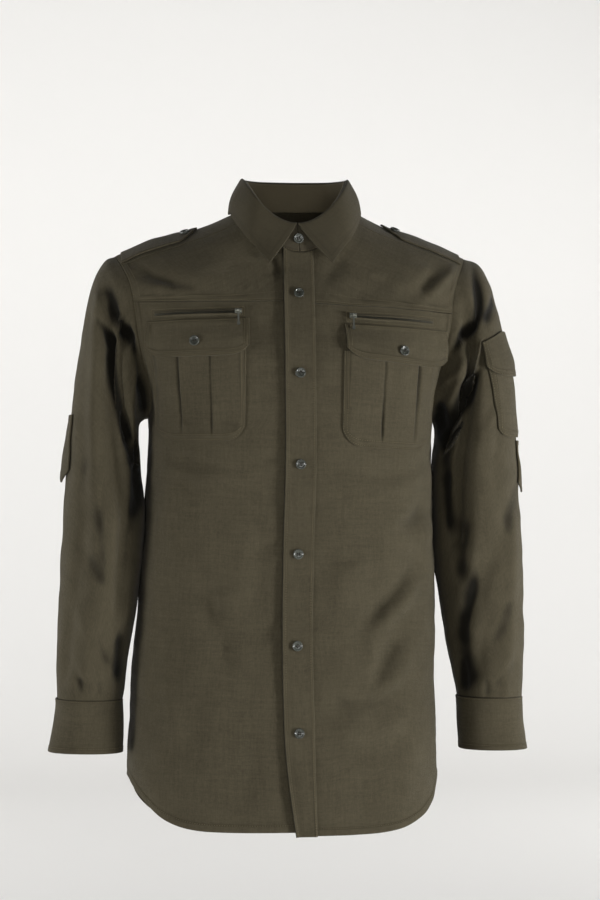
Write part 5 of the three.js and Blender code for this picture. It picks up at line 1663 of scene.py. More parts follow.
@dataclass
class FrontYoke:
    """Front part of one shoulder, between the forward seam, the neck and the front yoke's seam."""

    hand: int
    step: float = 3.0

    def grid(self) -> Grid:
        """Rows run down from the forward seam; columns go out from the neck and the front edge."""
        start = FORWARD_SEAM - 0.002
        neck_share = 5 / 7
        rows = np.unique(
            np.concatenate([stations(128, self.step, first=(1.6,), last=(1.8, 7.6)), [neck_share]])
        )
        across = stations(170, self.step, last=(1.8, 7.6))
        v, u = lattice(rows, across)
        front_x = float(centre_x(np.array(-60.0))) + FRONT_LAP + self.hand * 0.2
        bend = math.asin((front_x - NECK_CENTRE_X) / NECK_HALF)
        end_psi = math.pi - bend if self.hand > 0 else math.pi + bend
        on_neck = v <= neck_share + 1e-9
        psi = lerp(math.radians(NECK_SEAM_ANGLE), end_psi, np.minimum(v / neck_share, 1))
        x_neck, q_neck = neck_roll(self.hand * psi)
        _x, neck_z = neck_place(np.array(self.hand * end_psi))
        down = np.clip((v - neck_share) / (1 - neck_share), 0, 1)
        z_edge = lerp(neck_z, seam_z(np.array(front_x)) + 0.2, down)
        x_in = np.where(on_neck, x_neck, front_x)
        q_in = np.where(
            on_neck,
            np.where(v < 1e-9, start, q_neck),
            -roll_of(ridge_z(np.full(v.shape, front_x)) - z_edge),
        )

        def seam_roll(x: Array) -> Array:
            """Roll at which the front yoke's seam lies."""
            return -roll_of(ridge_z(x) - (seam_z(x) + 0.2))

        q_edge = roll_at_height(float(seam_z(np.array(self.hand * 200.0))), self.hand, -1) + 0.002
        edge_roll = lerp(start, q_edge, v)
        x_out = armhole_roll(edge_roll, self.hand, SEAM_GAP)
        x = lerp(x_in, x_out, u)
        in_fix = q_in - lerp(start, seam_roll(x_in), v)
        out_fix = edge_roll - lerp(start, seam_roll(x_out), v)
        q = lerp(start, seam_roll(x), v) + in_fix * (1 - u) ** 1.5 + out_fix * u**3
        p, n = shoulder_form(x, q), shoulder_normals(x, q)
        zero = np.zeros(p.shape[:2])
        lines = stitch_lines((1.8, 7.6), "last", "foot")
        height = BODY_RELIEF.height(p, n)
        # Painted shade: the colour darkens where the cloth lies deep in a crease.
        fold = painted_fold_shade(height, 1.8, 6.0, 0.45)
        return Grid(p + n * height[..., None], n, zero - CLOTH, zero, stitches=lines, fold=fold)

    def build(self, shop: Workshop) -> None:
        """Makes the piece."""
        side = side_name(self.hand)
        shop.cloth(f"yoke_front_{side}", self.grid(), Held.HUNG)


@dataclass
class BackYoke:
    """The yoke over both shoulders: up from the back seam, over the shoulder line to the forward seams."""

    shoulder_columns: int = 6
    neck_columns: int = 18
    back_rows: int = 6
    over_rows: int = 3

    def grid(self) -> Grid:
        """Rows run up from the back seam and over; columns go from the right armhole to the left."""
        wing, middle = self.shoulder_columns, self.neck_columns
        columns, rows = wing * 2 + middle, self.back_rows + self.over_rows
        end = FORWARD_SEAM + 0.002
        sides = stations(100, 3.5, first=(1.8, 7.6))
        j_all = np.concatenate(
            [sides * wing, wing + np.linspace(0, 1, 66)[1:-1] * middle, (columns - sides * wing)[::-1]]
        )
        i_all = np.concatenate(
            [
                stations(130, 3.5, first=(1.8, 7.6))[:-1] * self.back_rows,
                self.back_rows + stations(36, 3.0) * self.over_rows,
            ]
        )
        i, j = lattice(i_all, j_all)

        def back_roll(x: Array) -> Array:
            """Roll at which the back yoke's seam lies."""
            return roll_of(ridge_z(x) - (BACK_YOKE_Z + 0.2))

        psi = np.radians(lerp(-NECK_SEAM_ANGLE, NECK_SEAM_ANGLE, np.clip((j - wing) / middle, 0, 1)))
        x_neck, q_neck = neck_roll(psi)
        x_first, _q = neck_roll(np.radians(-NECK_SEAM_ANGLE))
        x_last, _q = neck_roll(np.radians(NECK_SEAM_ANGLE))
        right_end, left_end = (armhole_roll(np.array(end), hand, SEAM_GAP) for hand in (-1, 1))
        x_top = np.where(j < wing, lerp(right_end, x_first, j / wing), x_neck)
        x_top = np.where(j > columns - wing, lerp(x_last, left_end, (j - columns + wing) / wing), x_top)
        q_top = np.where((j <= wing) | (j >= columns - wing), end, q_neck)
        half, _front, _back, shift = body_sections(np.array(BACK_YOKE_Z))
        edge = float(shift + half * np.sin(edge_angle(BACK_YOKE_Z, 0)) ** (2 / SECTION_POWER) - SEAM_GAP)
        spread = 106.0
        x_low = lerp(-spread, spread, (j - wing) / middle)
        x_low = np.where(j < wing, lerp(-edge, -spread, j / wing), x_low)
        x_low = np.where(j > columns - wing, lerp(spread, edge, (j - columns + wing) / wing), x_low)
        q_low = back_roll(x_low)
        back = i <= self.back_rows
        level = np.where(back, 1 - i / self.back_rows, -(i - self.back_rows) / self.over_rows)
        seam_roll = roll_at_height(BACK_YOKE_Z, 1, 1)
        edge_roll = np.where(back, level * seam_roll, level * -end)
        crossing = np.where(
            q_top < 0, q_low / (q_low - np.where(q_top < 0, q_top, -1)), self.back_rows / rows
        )
        over = (i - self.back_rows) / self.over_rows
        bent = np.where(back, i / self.back_rows * crossing, crossing + over * (1 - crossing))
        inward = np.minimum(j, columns - j) - wing
        share = lerp(bent, i / rows, smooth(inward, 0, 5))
        near = np.clip(np.minimum(j, columns - j) / wing, 0, 1)
        left = j >= columns / 2
        straight = lerp(x_low, x_top, i / rows)
        plain = np.where(left, lerp(edge, left_end, i / rows), lerp(-edge, right_end, i / rows))
        at_edge = np.where(left, armhole_roll(edge_roll, 1, SEAM_GAP), armhole_roll(edge_roll, -1, SEAM_GAP))
        x = straight + (at_edge - plain) * (1 - near)
        over_roll = np.where(back, level * q_low, level * -end)
        q = np.where(near < 1, over_roll, lerp(q_low, q_top, share))
        p, n = shoulder_form(x, q), shoulder_normals(x, q)
        zero = np.zeros(p.shape[:2])
        lines = stitch_lines((1.8, 7.6), "first", "last", "top")
        return Grid(laid(p, n, BODY_RELIEF), n, zero - CLOTH, zero, stitches=lines)

    def build(self, shop: Workshop) -> None:
        """Makes the piece."""
        shop.cloth("back_yoke", self.grid(), Held.HUNG)


# ---- sleeves -----------------------------------------------------------------------------------


class SleeveForm:
    """The smooth form of one sleeve: slanted rings from the armhole to the cuff's seam."""

    def __init__(self, hand: int) -> None:
        """Works out the armhole ring and the spacing of rows for one side.

        Args:
            hand: -1 for the wearer's right, 1 for the left.
        """
        self.hand = hand
        self.table = Curve(SLEEVE[hand])
        self.relief = SLEEVE_RELIEF[hand]
        self.ring_p, self.ring_n, self.ring_phi = self._ring(150)

    def surface(self, step: Array, phi: Array) -> Array:
        """Point at a ring step and an angle: an almost elliptical ring, swollen by the main folds."""
        t = self.table(step)
        ox, oz, ix, iz, front, back, middle = (t[..., k] for k in range(7))
        c, s = signed_power(np.cos(phi), 0.92), signed_power(np.sin(phi), 0.92)
        degrees = (np.degrees(phi) + 180) % 360 - 180
        fade = smooth(step, 0, 1) * (1 - smooth(step, SLEEVE_STEPS - 0.7, SLEEVE_STEPS))
        swell = 1 + main_folds(SLEEVE_FOLDS[self.hand], step, degrees, 66, 1) * fade / 56
        x = self.hand * ((ox + ix) / 2 + (ox - ix) / 2 * c * swell)
        return points(
            x, middle - np.where(s > 0, front, back) * s * swell, (oz + iz) / 2 + (oz - iz) / 2 * c * swell
        )

    def inside(self, step: Array) -> Array:
        """Middle of the ring at a step."""
        t = self.table(step)
        return points(self.hand * (t[..., 0] + t[..., 2]) / 2, t[..., 6], (t[..., 1] + t[..., 3]) / 2)

    def surface_normals(self, step: Array, phi: Array) -> Array:
        """Outward normals of the surface."""
        centre = self.inside(step)
        return normals(self.surface, step, phi, 0.02, 0.02, lambda p: centre)

    def _ring(self, count: int) -> tuple[Array, Array, Array]:
        """Armhole seam from the shoulder line down in front and up behind, evenly spaced.

        Args:
            count: number of places.

        Returns:
            Points, normals and angles.
        """
        hand = self.hand
        front_seam = float(seam_z(np.array(hand * 200.0)))
        q_front, q_back = roll_at_height(front_seam, hand, -1), roll_at_height(BACK_YOKE_Z, hand, 1)

        def over(q: Array) -> tuple[Array, Array]:
            """Ring over the shoulder at a roll."""
            x = armhole_roll(q, hand, 0)
            return shoulder_form(x, q), shoulder_normals(x, q)

        def beside(z: Array, front: bool) -> tuple[Array, Array]:
            """Ring on the barrel at a height."""
            angle = edge_angle(z, 0)
            theta = hand * (angle if front else math.pi - angle)
            return barrel(theta, z), barrel_normals(theta, z)

        fall = 1 - (1 - np.linspace(0, 1, 60)) ** 2
        parts = [
            over(np.linspace(0, q_front, 50)),
            beside(lerp(front_seam, UNDERARM_Z, fall[1:]), True),
            beside(lerp(BACK_YOKE_Z, UNDERARM_Z, fall[::-1][1:]), False),
            over(np.linspace(q_back, 0, 50)[1:]),
        ]
        p = np.concatenate([part[0] for part in parts])
        n = np.concatenate([part[1] for part in parts])
        low = len(parts[0][0]) + len(parts[1][0]) - 1
        length = np.concatenate([[0], np.cumsum(np.linalg.norm(np.diff(p, axis=0), axis=1))])
        at = np.arange(count) / count * length[-1]
        angle = np.where(length <= length[low], math.pi * length / length[low], 0)
        after = math.pi * (1 + (length - length[low]) / (length[-1] - length[low]))
        angle = np.where(length <= length[low], angle, after)

        def pick(values: Array) -> Array:
            """Values of the line at the even places."""
            return np.stack([np.interp(at, length, values[:, c]) for c in range(3)], -1)

        return pick(p), unit(pick(n)), np.interp(at, length, angle)

    def base(self, step: Array) -> tuple[Array, Array, Array]:
        """Sleeve cloth for rows of steps: starts on the armhole ring and joins the form further down.

        Args:
            step: one step for each row.

        Returns:
            Points with relief, normals, and the shares of painted shade in their deep folds.
        """
        s, k = lattice(step, np.arange(len(self.ring_phi)))
        phi = self.ring_phi[k]
        start = self.surface(np.zeros(len(self.ring_phi)), self.ring_phi)
        fade = np.clip(1 - s / 2.4, 0, 1) ** 2
        p = self.surface(s, phi) + (self.ring_p - start)[k] * fade[..., None]
        near = (1 - smooth(s, 0, 0.5))[..., None]
        n = unit(self.surface_normals(s, phi) * (1 - near) + self.ring_n[k] * near)
        ring_height = BODY_RELIEF.height(self.ring_p, self.ring_n)[k]
        own = self.relief.height(p, n) * smooth(s, 0.05, 0.7)
        height = ring_height * near[..., 0] + own
        # Painted shade: the colour darkens along creases deeper than 7 mm that face the front.
        deep = height_of([crease for crease in self.relief.front if crease.rise < -7], *front_plane(p))
        deep = deep * smooth(-n[..., 1], -0.1, 0.25) * smooth(s, 0.05, 0.7)
        return p + n * height[..., None], n, painted_fold_shade(np.minimum(height, deep), 1.3, 5.2)

    def find_step(self, phi: Array, z: Array) -> Array:
        """Step at which the cloth reaches a height at an angle, by halving."""
        low, high = np.zeros(np.shape(phi)), np.full(np.shape(phi), float(SLEEVE_STEPS))
        for _ in range(24):
            middle = (low + high) / 2
            above = self.surface(middle, phi)[..., 2] > z
            low, high = np.where(above, middle, low), np.where(above, high, middle)
        return (low + high) / 2

    def laid(self, degrees: Array, z: Array) -> tuple[Array, Array]:
        """Place and normal, with relief, for a piece that lies on the sleeve.

        Args:
            degrees: angle round the arm.
            z: height.

        Returns:
            Points and normals.
        """
        phi = np.radians(degrees)
        step = self.find_step(phi, z)
        p, n = self.surface(step, phi), self.surface_normals(step, phi)
        return laid(p, n, self.relief), n


@dataclass
class Sleeve:
    """One sleeve's cloth from the armhole to the cuff's seam."""

    form: SleeveForm
    step: float = 3.4

    def grid(self) -> Grid:
        """Rows run down the sleeve at an even spacing; columns go round the arm."""
        fine = np.linspace(0, SLEEVE_STEPS, 700)
        lines = self.form.surface(fine[:, None], np.radians([0, 90, 180, 270])[None, :])
        moved = np.linalg.norm(np.diff(lines, axis=0), axis=-1).max(1)
        length = np.concatenate([[0], np.cumsum(moved)])
        shares = stations(length[-1], self.step, last=(1.4,))
        step = np.interp(shares * length[-1], length, fine)
        p, n, fold = self.form.base(step)
        zero = np.zeros(p.shape[:2])
        return Grid(p, n, zero - CLOTH, zero, wrap=True, fold=fold)

    def build(self, shop: Workshop) -> None:
        """Makes the sleeve."""
        side = side_name(self.form.hand)
        shop.cloth(f"sleeve_{side}", self.grid(), Held.HUNG)


@dataclass
class Cuff:
    """A barrel cuff, lapped behind the wrist and buttoned."""

    hand: int

    def surface(self, down: Array, phi: Array) -> Array:
        """Point of the cuff at a depth below its seam and an angle round the wrist."""
        t = Curve(CUFF[self.hand])(down)
        outer, inner, deep, middle = (t[..., k] for k in range(4))
        c, s = signed_power(np.cos(phi), 0.92), signed_power(np.sin(phi), 0.92)
        top = CUFF_TOP[self.hand]
        seam = (top[0] + top[1]) / 2 + (top[0] - top[1]) / 2 * c
        return points(
            self.hand * ((outer + inner) / 2 + (outer - inner) / 2 * c), middle - deep * s, seam - 0.5 - down
        )

    def normals(self, down: Array, phi: Array) -> Array:
        """Outward normals of the cuff."""
        t = Curve(SLEEVE[self.hand])(np.array(float(SLEEVE_STEPS)))
        centre = (self.hand * (t[0] + t[2]) / 2, t[6])
        return normals(self.surface, down, phi, 0.5, 0.02, lambda p: points(centre[0], centre[1], p[..., 2]))

    def grid(self) -> Grid:
        """Rows run down; columns go round from the under lap to the upper one, which lies outside it."""
        turn = math.radians(360 + CUFF_LAP)
        down, share = lattice(
            stations(CUFF_DEPTH, 3.0, first=(1.6, 6.5), last=(6.5,)) * CUFF_DEPTH,
            stations(290, 3.0, first=(6.5,), last=(6.5,)),
        )
        phi = math.radians(-104) + share * turn
        lift = smooth(share * turn - (math.radians(360 - 46)), 0, math.radians(38)) * (TWO_PLY + 0.9)
        p, n = self.surface(down, phi), self.normals(down, phi)
        small = SLEEVE_RELIEF[self.hand].uneven(p) * smooth(down, 0, 12) * 0.6
        lines = (("top", 1.6), ("foot", 6.5), ("first", 6.5), ("last", 6.5))
        return Grid(p, n, lift - 1.0 + small, lift + TWO_PLY - 1.0 + small, stitches=lines)

    def build(self, shop: Workshop) -> None:
        """Makes the cuff."""
        side = side_name(self.hand)
        shop.cloth(f"cuff_{side}", self.grid(), Held.FOLDED)


@dataclass
class SleevePlacket:
    """The stitched strip over the sleeve's slit, behind the wrist."""

    form: SleeveForm

    def build(self, shop: Workshop) -> None:
        """Makes the strip on the sleeve's form."""
        side = side_name(self.form.hand)
        v, u = lattice(stations(124, 3.0, first=(2,), last=(2,)), stations(20, 2.5, first=(2,), last=(2,)))
        p, n = self.form.laid(lerp(-82, -106, u), lerp(-484, -608, v))
        zero = np.zeros(p.shape[:2])
        lines = stitch_lines((2.0,), "first", "last", "top")
        shop.cloth(
            f"sleeve_placket_{side}",
            Grid(p, n, zero + LAY_GAP, zero + LAY_GAP + CLOTH, stitches=lines),
            Held.LAID,
        )


@dataclass
class SleeveTab:
    """Roll-up tab: a pointed strip sewn on at its top, its free end standing off the arm."""

    form: SleeveForm
    top: float
    foot: float
    off: float

    def build(self, shop: Workshop) -> None:
        """Makes the tab on the sleeve's form."""
        side = side_name(self.form.hand)
        v, u = lattice(stations(80, 2.5, first=(5,), last=(4,)), stations(34, 2.5, first=(4,), last=(4,)))
        z = lerp(self.top, self.foot, v * (1 - 0.2 * np.abs(u - 0.5) * 2))
        p, n = self.form.laid(lerp(24, -16, u), z)
        low = LAY_GAP + self.off * smooth(v, 0.05, 0.9) * lerp(0.12, 1.0, smooth(u, 0, 0.75))
        lines = (("first", 4.0), ("last", 4.0), ("foot", 4.0), ("top", 5.0))
        shop.cloth(f"tab_{side}", Grid(p, n, low, low + TWO_PLY, stitches=lines), Held.LAID)


@dataclass
class ArmPocket:
    """Patch pocket with a flap on the wearer's left upper sleeve."""

    form: SleeveForm
    front: float = 71
    back: float = -42
    top: float = -192
    foot: float = -286
    flap_front: float = 74
    flap_back: float = -44
    flap_foot: float = -209

    def pocket(self) -> Grid:
        """The bag: raised a little off the sleeve, its lower corners rounded."""
        v, u = lattice(
            stations(94, 2.6, last=(2.0, 8.0)),
            stations(120, 2.6, first=(2.0, 8.0), last=(2.0, 8.0)),
        )
        edge = np.abs(u - 0.5) * 2
        z = lerp(self.top, self.foot, v * (1 - 0.12 * edge**8))
        p, n = self.form.laid(lerp(self.front - 5 * v, self.back, u), z)
        rise = smooth(np.minimum(u, 1 - u), 0, 0.09) * smooth(1 - v, 0, 0.1)
        low = 0.9 + 1.6 * rise
        lines = stitch_lines((2.0, 8.0), "first", "last", "foot")
        return Grid(p, n, low, low + CLOTH, stitches=lines)

    def flap(self) -> Grid:
        """The flap: sewn at its top, standing off at its rounded foot."""
        v, u = lattice(
            stations(52, 2.4, last=(2.0, 7.0)),
            stations(124, 2.6, first=(2.0, 7.0), last=(2.0, 7.0)),
        )
        edge = np.abs(u - 0.5) * 2
        top = lerp(-167, -152, np.minimum(u / 0.35, 1))
        z = lerp(top, self.flap_foot, v * (1 - 0.26 * edge**7))
        p, n = self.form.laid(lerp(self.flap_front, self.flap_back, u), z)
        low = 0.9 + 4.4 * smooth(v, -0.1, 0.75)
        lines = stitch_lines((2.0, 7.0), "first", "last", "foot")
        return Grid(p, n, low, low + TWO_PLY, stitches=lines)

    def build(self, shop: Workshop) -> None:
        """Makes the pocket and its flap."""
        shop.cloth("pocket_sleeve", self.pocket(), Held.LAID)
        shop.cloth("flap_sleeve", self.flap(), Held.LAID)


# ---- front -------------------------------------------------------------------------------------


def on_front(x: Array, z: Array) -> tuple[Array, Array]:
    """Place and normal, with relief, for a piece that lies on the front of the body."""
    p, n = front_form(x, z), front_normals(x, z)
    return laid(p, n, BODY_RELIEF), n


@dataclass
class FrontBand:
    """The button stand: a doubled band down the front, its free edge standing off a little."""

    def grid(self) -> Grid:
        """Rows run down from the neck; columns go from the free edge to the stitched one."""
        v, u = lattice(
            stations(719, 3.2, last=(8.0,)), stations(39, 2.2, first=(5.0,), last=(3.0,))
        )
        z = lerp(-57.5, -776.5, v)
        turned = 12.0 * np.clip((-640 - z) / 136, 0, 1) ** 1.6
        x = centre_x(z) + lerp(turned - PLACKET_HALF, PLACKET_HALF, u)
        _x, neck_z = neck_place(math.pi - np.arcsin((x - NECK_CENTRE_X) / NECK_HALF))
        z = z + (neck_z - 0.4 + 57.5) * (1 - smooth(v, 0, 0.03))
        p, n = on_front(x, z)
        low = LAY_GAP + (2.6 + 0.9 * np.sin(z / 31.0)) * (1 - smooth(u, 0, 0.24))
        high = low + lerp(TWO_PLY, 0.5, smooth(u, 0.9, 1))
        lines = (("first", 5.0), ("last", 3.0))
        # slit paints a near-black shadow line along the band's free edge.
        return Grid(p, n, low, high, stitches=lines, slit=1 - smooth(u * 2 * PLACKET_HALF, 0.5, 1.6))

    def build(self, shop: Workshop) -> None:
        """Makes the band."""
        shop.cloth(
            "placket", self.grid(), Held.LAID,
        )


@dataclass
class ChestPocket:
    """Patch pocket with two pleats and a flap: corners as x and z, pleats as shares of the width."""

    hand: int
    top: Ends
    bottom: Ends
    pleats: tuple[float, float]
    flap_top: Ends
    flap_bottom: Ends

    @staticmethod
    def corners(top: Ends, bottom: Ends, u: Array, v: Array) -> tuple[Array, Array]:
        """Mix of four corners: across the top and the bottom by u, then down by v.

        Args:
            top: both ends of the top edge, as x and z.
            bottom: both ends of the bottom edge.
            u: share across.
            v: share down.

        Returns:
            Sideways place and height.
        """
        x = lerp(lerp(top[0][0], top[1][0], u), lerp(bottom[0][0], bottom[1][0], u), v)
        z = lerp(lerp(top[0][1], top[1][1], u), lerp(bottom[0][1], bottom[1][1], u), v)
        return x, z

    def pocket(self) -> Grid:
        """The bag, with its foot rounded and each pleat a narrow channel."""
        spots = stations(118, 2.6, first=(2.0, 8.0), last=(2.0, 8.0))
        for pleat in self.pleats:
            spots = np.concatenate([spots, pleat + np.array([-0.03, -0.018, -0.009, 0, 0.009, 0.018, 0.03])])
        spots = np.unique(np.round(spots, 4))
        spots = spots[np.concatenate([[True], np.diff(spots) > 0.003])]
        v, u = lattice(stations(113, 2.8, last=(2.0, 8.0)), spots)
        edge = np.abs(u - 0.5) * 2
        x, z = self.corners(self.top, self.bottom, u, v * (1 - 0.17 * edge**7))
        p, n = on_front(x, z)
        rise = smooth(np.minimum(u, 1 - u), 0, 0.08) * smooth(1 - v, 0, 0.09)
        low = LAY_GAP + 2.4 * rise
        # Each pleat's channel is painted near black as shade.
        slit = np.zeros(u.shape)
        for pleat in self.pleats:
            open_share = smooth(1 - v, 0.02, 0.2) * (0.7 + 0.3 * np.sin(4 * v + 9 * pleat))
            channel = np.exp(-(((u - pleat) / 0.0105) ** 2))
            lip = np.exp(-(((u - pleat - self.hand * 0.03) / 0.026) ** 2))
            low = low + (0.9 * lip - 2.6 * channel) * open_share
            slit = np.maximum(slit, channel * open_share)
        low = np.maximum(low, LAY_GAP)
        lines = stitch_lines((2.0, 8.0), "first", "last", "foot")
        return Grid(p, n, low, low + CLOTH, stitches=lines, slit=slit)

    def flap(self) -> Grid:
        """The flap: sewn along its top, standing off the pocket at its rounded foot."""
        v, u = lattice(
            stations(48, 2.2, first=(2.0,), last=(2.0, 7.0)),
            stations(126, 2.6, first=(2.0, 7.0), last=(2.0, 7.0)),
        )
        edge = np.abs(u - 0.5) * 2
        x, z = self.corners(self.flap_top, self.flap_bottom, u, v * (1 - 0.28 * edge**7))
        p, n = on_front(x, z)
        low = LAY_GAP + 4.8 * smooth(v, -0.1, 0.7)
        lines = (*stitch_lines((2.0, 7.0), "first", "last", "foot"), ("top", 2.0))
        return Grid(p, n, low, low + TWO_PLY, stitches=lines)

    def build(self, shop: Workshop) -> None:
        """Makes the pocket and its flap."""
        side = side_name(self.hand)
        shop.cloth(
            f"pocket_{side}", self.pocket(), Held.LAID,
        )
        shop.cloth(f"flap_{side}", self.flap(), Held.LAID)


CHEST_POCKETS = (
    ChestPocket(
        -1, ((-66, -178), (-182, -180)), ((-68, -291), (-171, -291)), (0.37, 0.7),
        ((-61, -140), (-185, -143)), ((-62, -187), (-184, -188)),
    ),
    ChestPocket(
        1, ((55, -180), (179, -188)), ((51, -297), (167, -304)), (0.42, 0.78),
        ((57, -147), (190, -153)), ((58, -189), (186, -201)),
    ),
)
FLAP_BUTTON = {-1: (-126.0, -169.0), 1: (128.0, -180.0)}


@dataclass
class Epaulette:
    """A pointed strap over the shoulder, from the armhole seam to a button near the neck."""

    hand: int

    def place(self, u: Array, v: Array) -> tuple[Array, Array]:
        """Sideways place and roll of a share along the strap and a share across it."""
        outer, tip = (-214.0, -118.0) if self.hand < 0 else (213.0, 113.0)
        point = smooth(u, 0.86, 1)
        x = lerp(outer, tip, u * (1 - 0.14 * np.abs(v - 0.5) * 2))
        return x, lerp(lerp(-0.44, 0.2, v), -0.13, point * 0.25 + 0.1 * u)

    def lift(self, u: Array) -> Array:
        """Height of the strap off the yoke."""
        return LAY_GAP + 1.2 * np.sin(math.pi * np.clip(u, 0, 1))

    def build(self, shop: Workshop) -> None:
        """Makes the strap."""
        side = side_name(self.hand)
        u, v = lattice(
            stations(100, 2.5, first=(2.0,), last=(4.0,)),
            stations(46, 2.2, first=(4.0,), last=(4.0,)),
        )
        x, q = self.place(u, v)
        p, n = shoulder_form(x, q), shoulder_normals(x, q)
        low = self.lift(u)
        lines = stitch_lines((4.0,), "first", "last", "foot")
        grid = Grid(laid(p, n, BODY_RELIEF), n, low, low + TWO_PLY, stitches=lines)
        shop.cloth(f"epaulette_{side}", grid, Held.LAID)


# ---- collar ------------------------------------------------------------------------------------


@dataclass
class Collar:
    """Collar stand and turned-down collar."""

    def stand(self) -> Grid:
        """The stand: rows rise from the neck seam, columns go round from one front end to the other."""
        up, share = lattice(stations(35, 2.4, first=(1.5,)), stations(370, 2.6, first=(4.0,), last=(4.0,)))
        psi = np.radians(lerp(-179.85, 179.85, share))
        p = stand_point(psi, up)
        zero = np.zeros(p.shape[:2])
        lines = (("top", 1.5),)
        return Grid(p, radial(p), zero - TWO_PLY, zero, stitches=lines)

    @staticmethod
    def edge(psi: Array) -> Array:
        """Lower edge of the turned-down collar, laid a little off the yoke."""
        t = COLLAR_CURVE(np.abs(np.degrees(psi)))
        x, y, z = NECK_CENTRE_X + np.sign(psi) * t[..., 0], t[..., 1], t[..., 2]
        side = np.where(y < 0, -1.0, 1.0)
        fallen = ridge_z(x) - z > 3
        cover = depth_at(x, z, side) * side
        y = side * np.maximum(side * y, np.where(fallen, cover + COLLAR_OFF, 0))
        return points(x, y, np.where(fallen, z, ridge_z(x) + COLLAR_OFF))

    @classmethod
    def leaf(cls, psi: Array, fall: Array) -> Array:
        """Point of the collar: rolls over the stand's top edge, then hangs to its lower edge."""
        fold = stand_point(psi, np.ones(np.shape(psi)))
        out = radial(fold)
        edge = cls.edge(psi)
        start = np.minimum(fall / 0.16, 1)
        reach = np.maximum(0, (fall - 0.08) / 0.92)
        crest = fold + points(0, 0, 0.7 + 2.2 * np.sin(start * math.pi * 0.8))
        crest = crest + out * (5.2 * (1 - (1 - start) ** 2))[..., None]
        drift = reach**1.15
        belly = 5 * np.sin(math.pi * reach) * np.sin(np.minimum(np.abs(psi), math.radians(165)) / 1.1 + 0.35)
        belly = np.maximum(0, belly)
        x = lerp(crest[..., 0], edge[..., 0], drift) + out[..., 0] * belly
        y = lerp(crest[..., 1], edge[..., 1], drift) + out[..., 1] * belly
        z = lerp(crest[..., 2], edge[..., 2], reach)
        side = np.where(y < 0, -1.0, 1.0)
        cover = depth_at(x, z, side) * side
        held = side * np.maximum(side * y, cover + COLLAR_OFF * smooth(reach, 0, 0.3))
        return points(x, np.where(ridge_z(x) > z + 1, held, y), z)

    def fall(self) -> Grid:
        """The turned-down collar: rows run down from the fold, columns go round the neck."""
        down, share = lattice(
            stations(62, 2.2, last=(1.8, 6.5)), stations(420, 2.6, first=(1.8, 6.5), last=(1.8, 6.5))
        )
        psi = np.radians(lerp(-179.4, 179.4, share))
        safe = np.clip(down, 0.012, 0.99)
        around = self.leaf(psi + 0.01, safe) - self.leaf(psi - 0.01, safe)
        along = self.leaf(psi, safe + 0.01) - self.leaf(psi, safe - 0.01)
        p, n = self.leaf(psi, down), unit(np.cross(along, around))
        zero = np.zeros(p.shape[:2])
        lines = stitch_lines((6.5,), "first", "last", "foot")
        return Grid(p, n, zero, zero + TWO_PLY, stitches=lines)

    def build(self, shop: Workshop) -> None:
        """Makes the stand and the collar."""
        # The stand's finish paints light onto its inside.
        shop.cloth(
            "collar_stand", self.stand(), Held.FOLDED, material=shop.palette.twill_inside
        )
        shop.cloth("collar", self.fall(), Held.FOLDED)


# ---- buttons and zips --------------------------------------------------------------------------


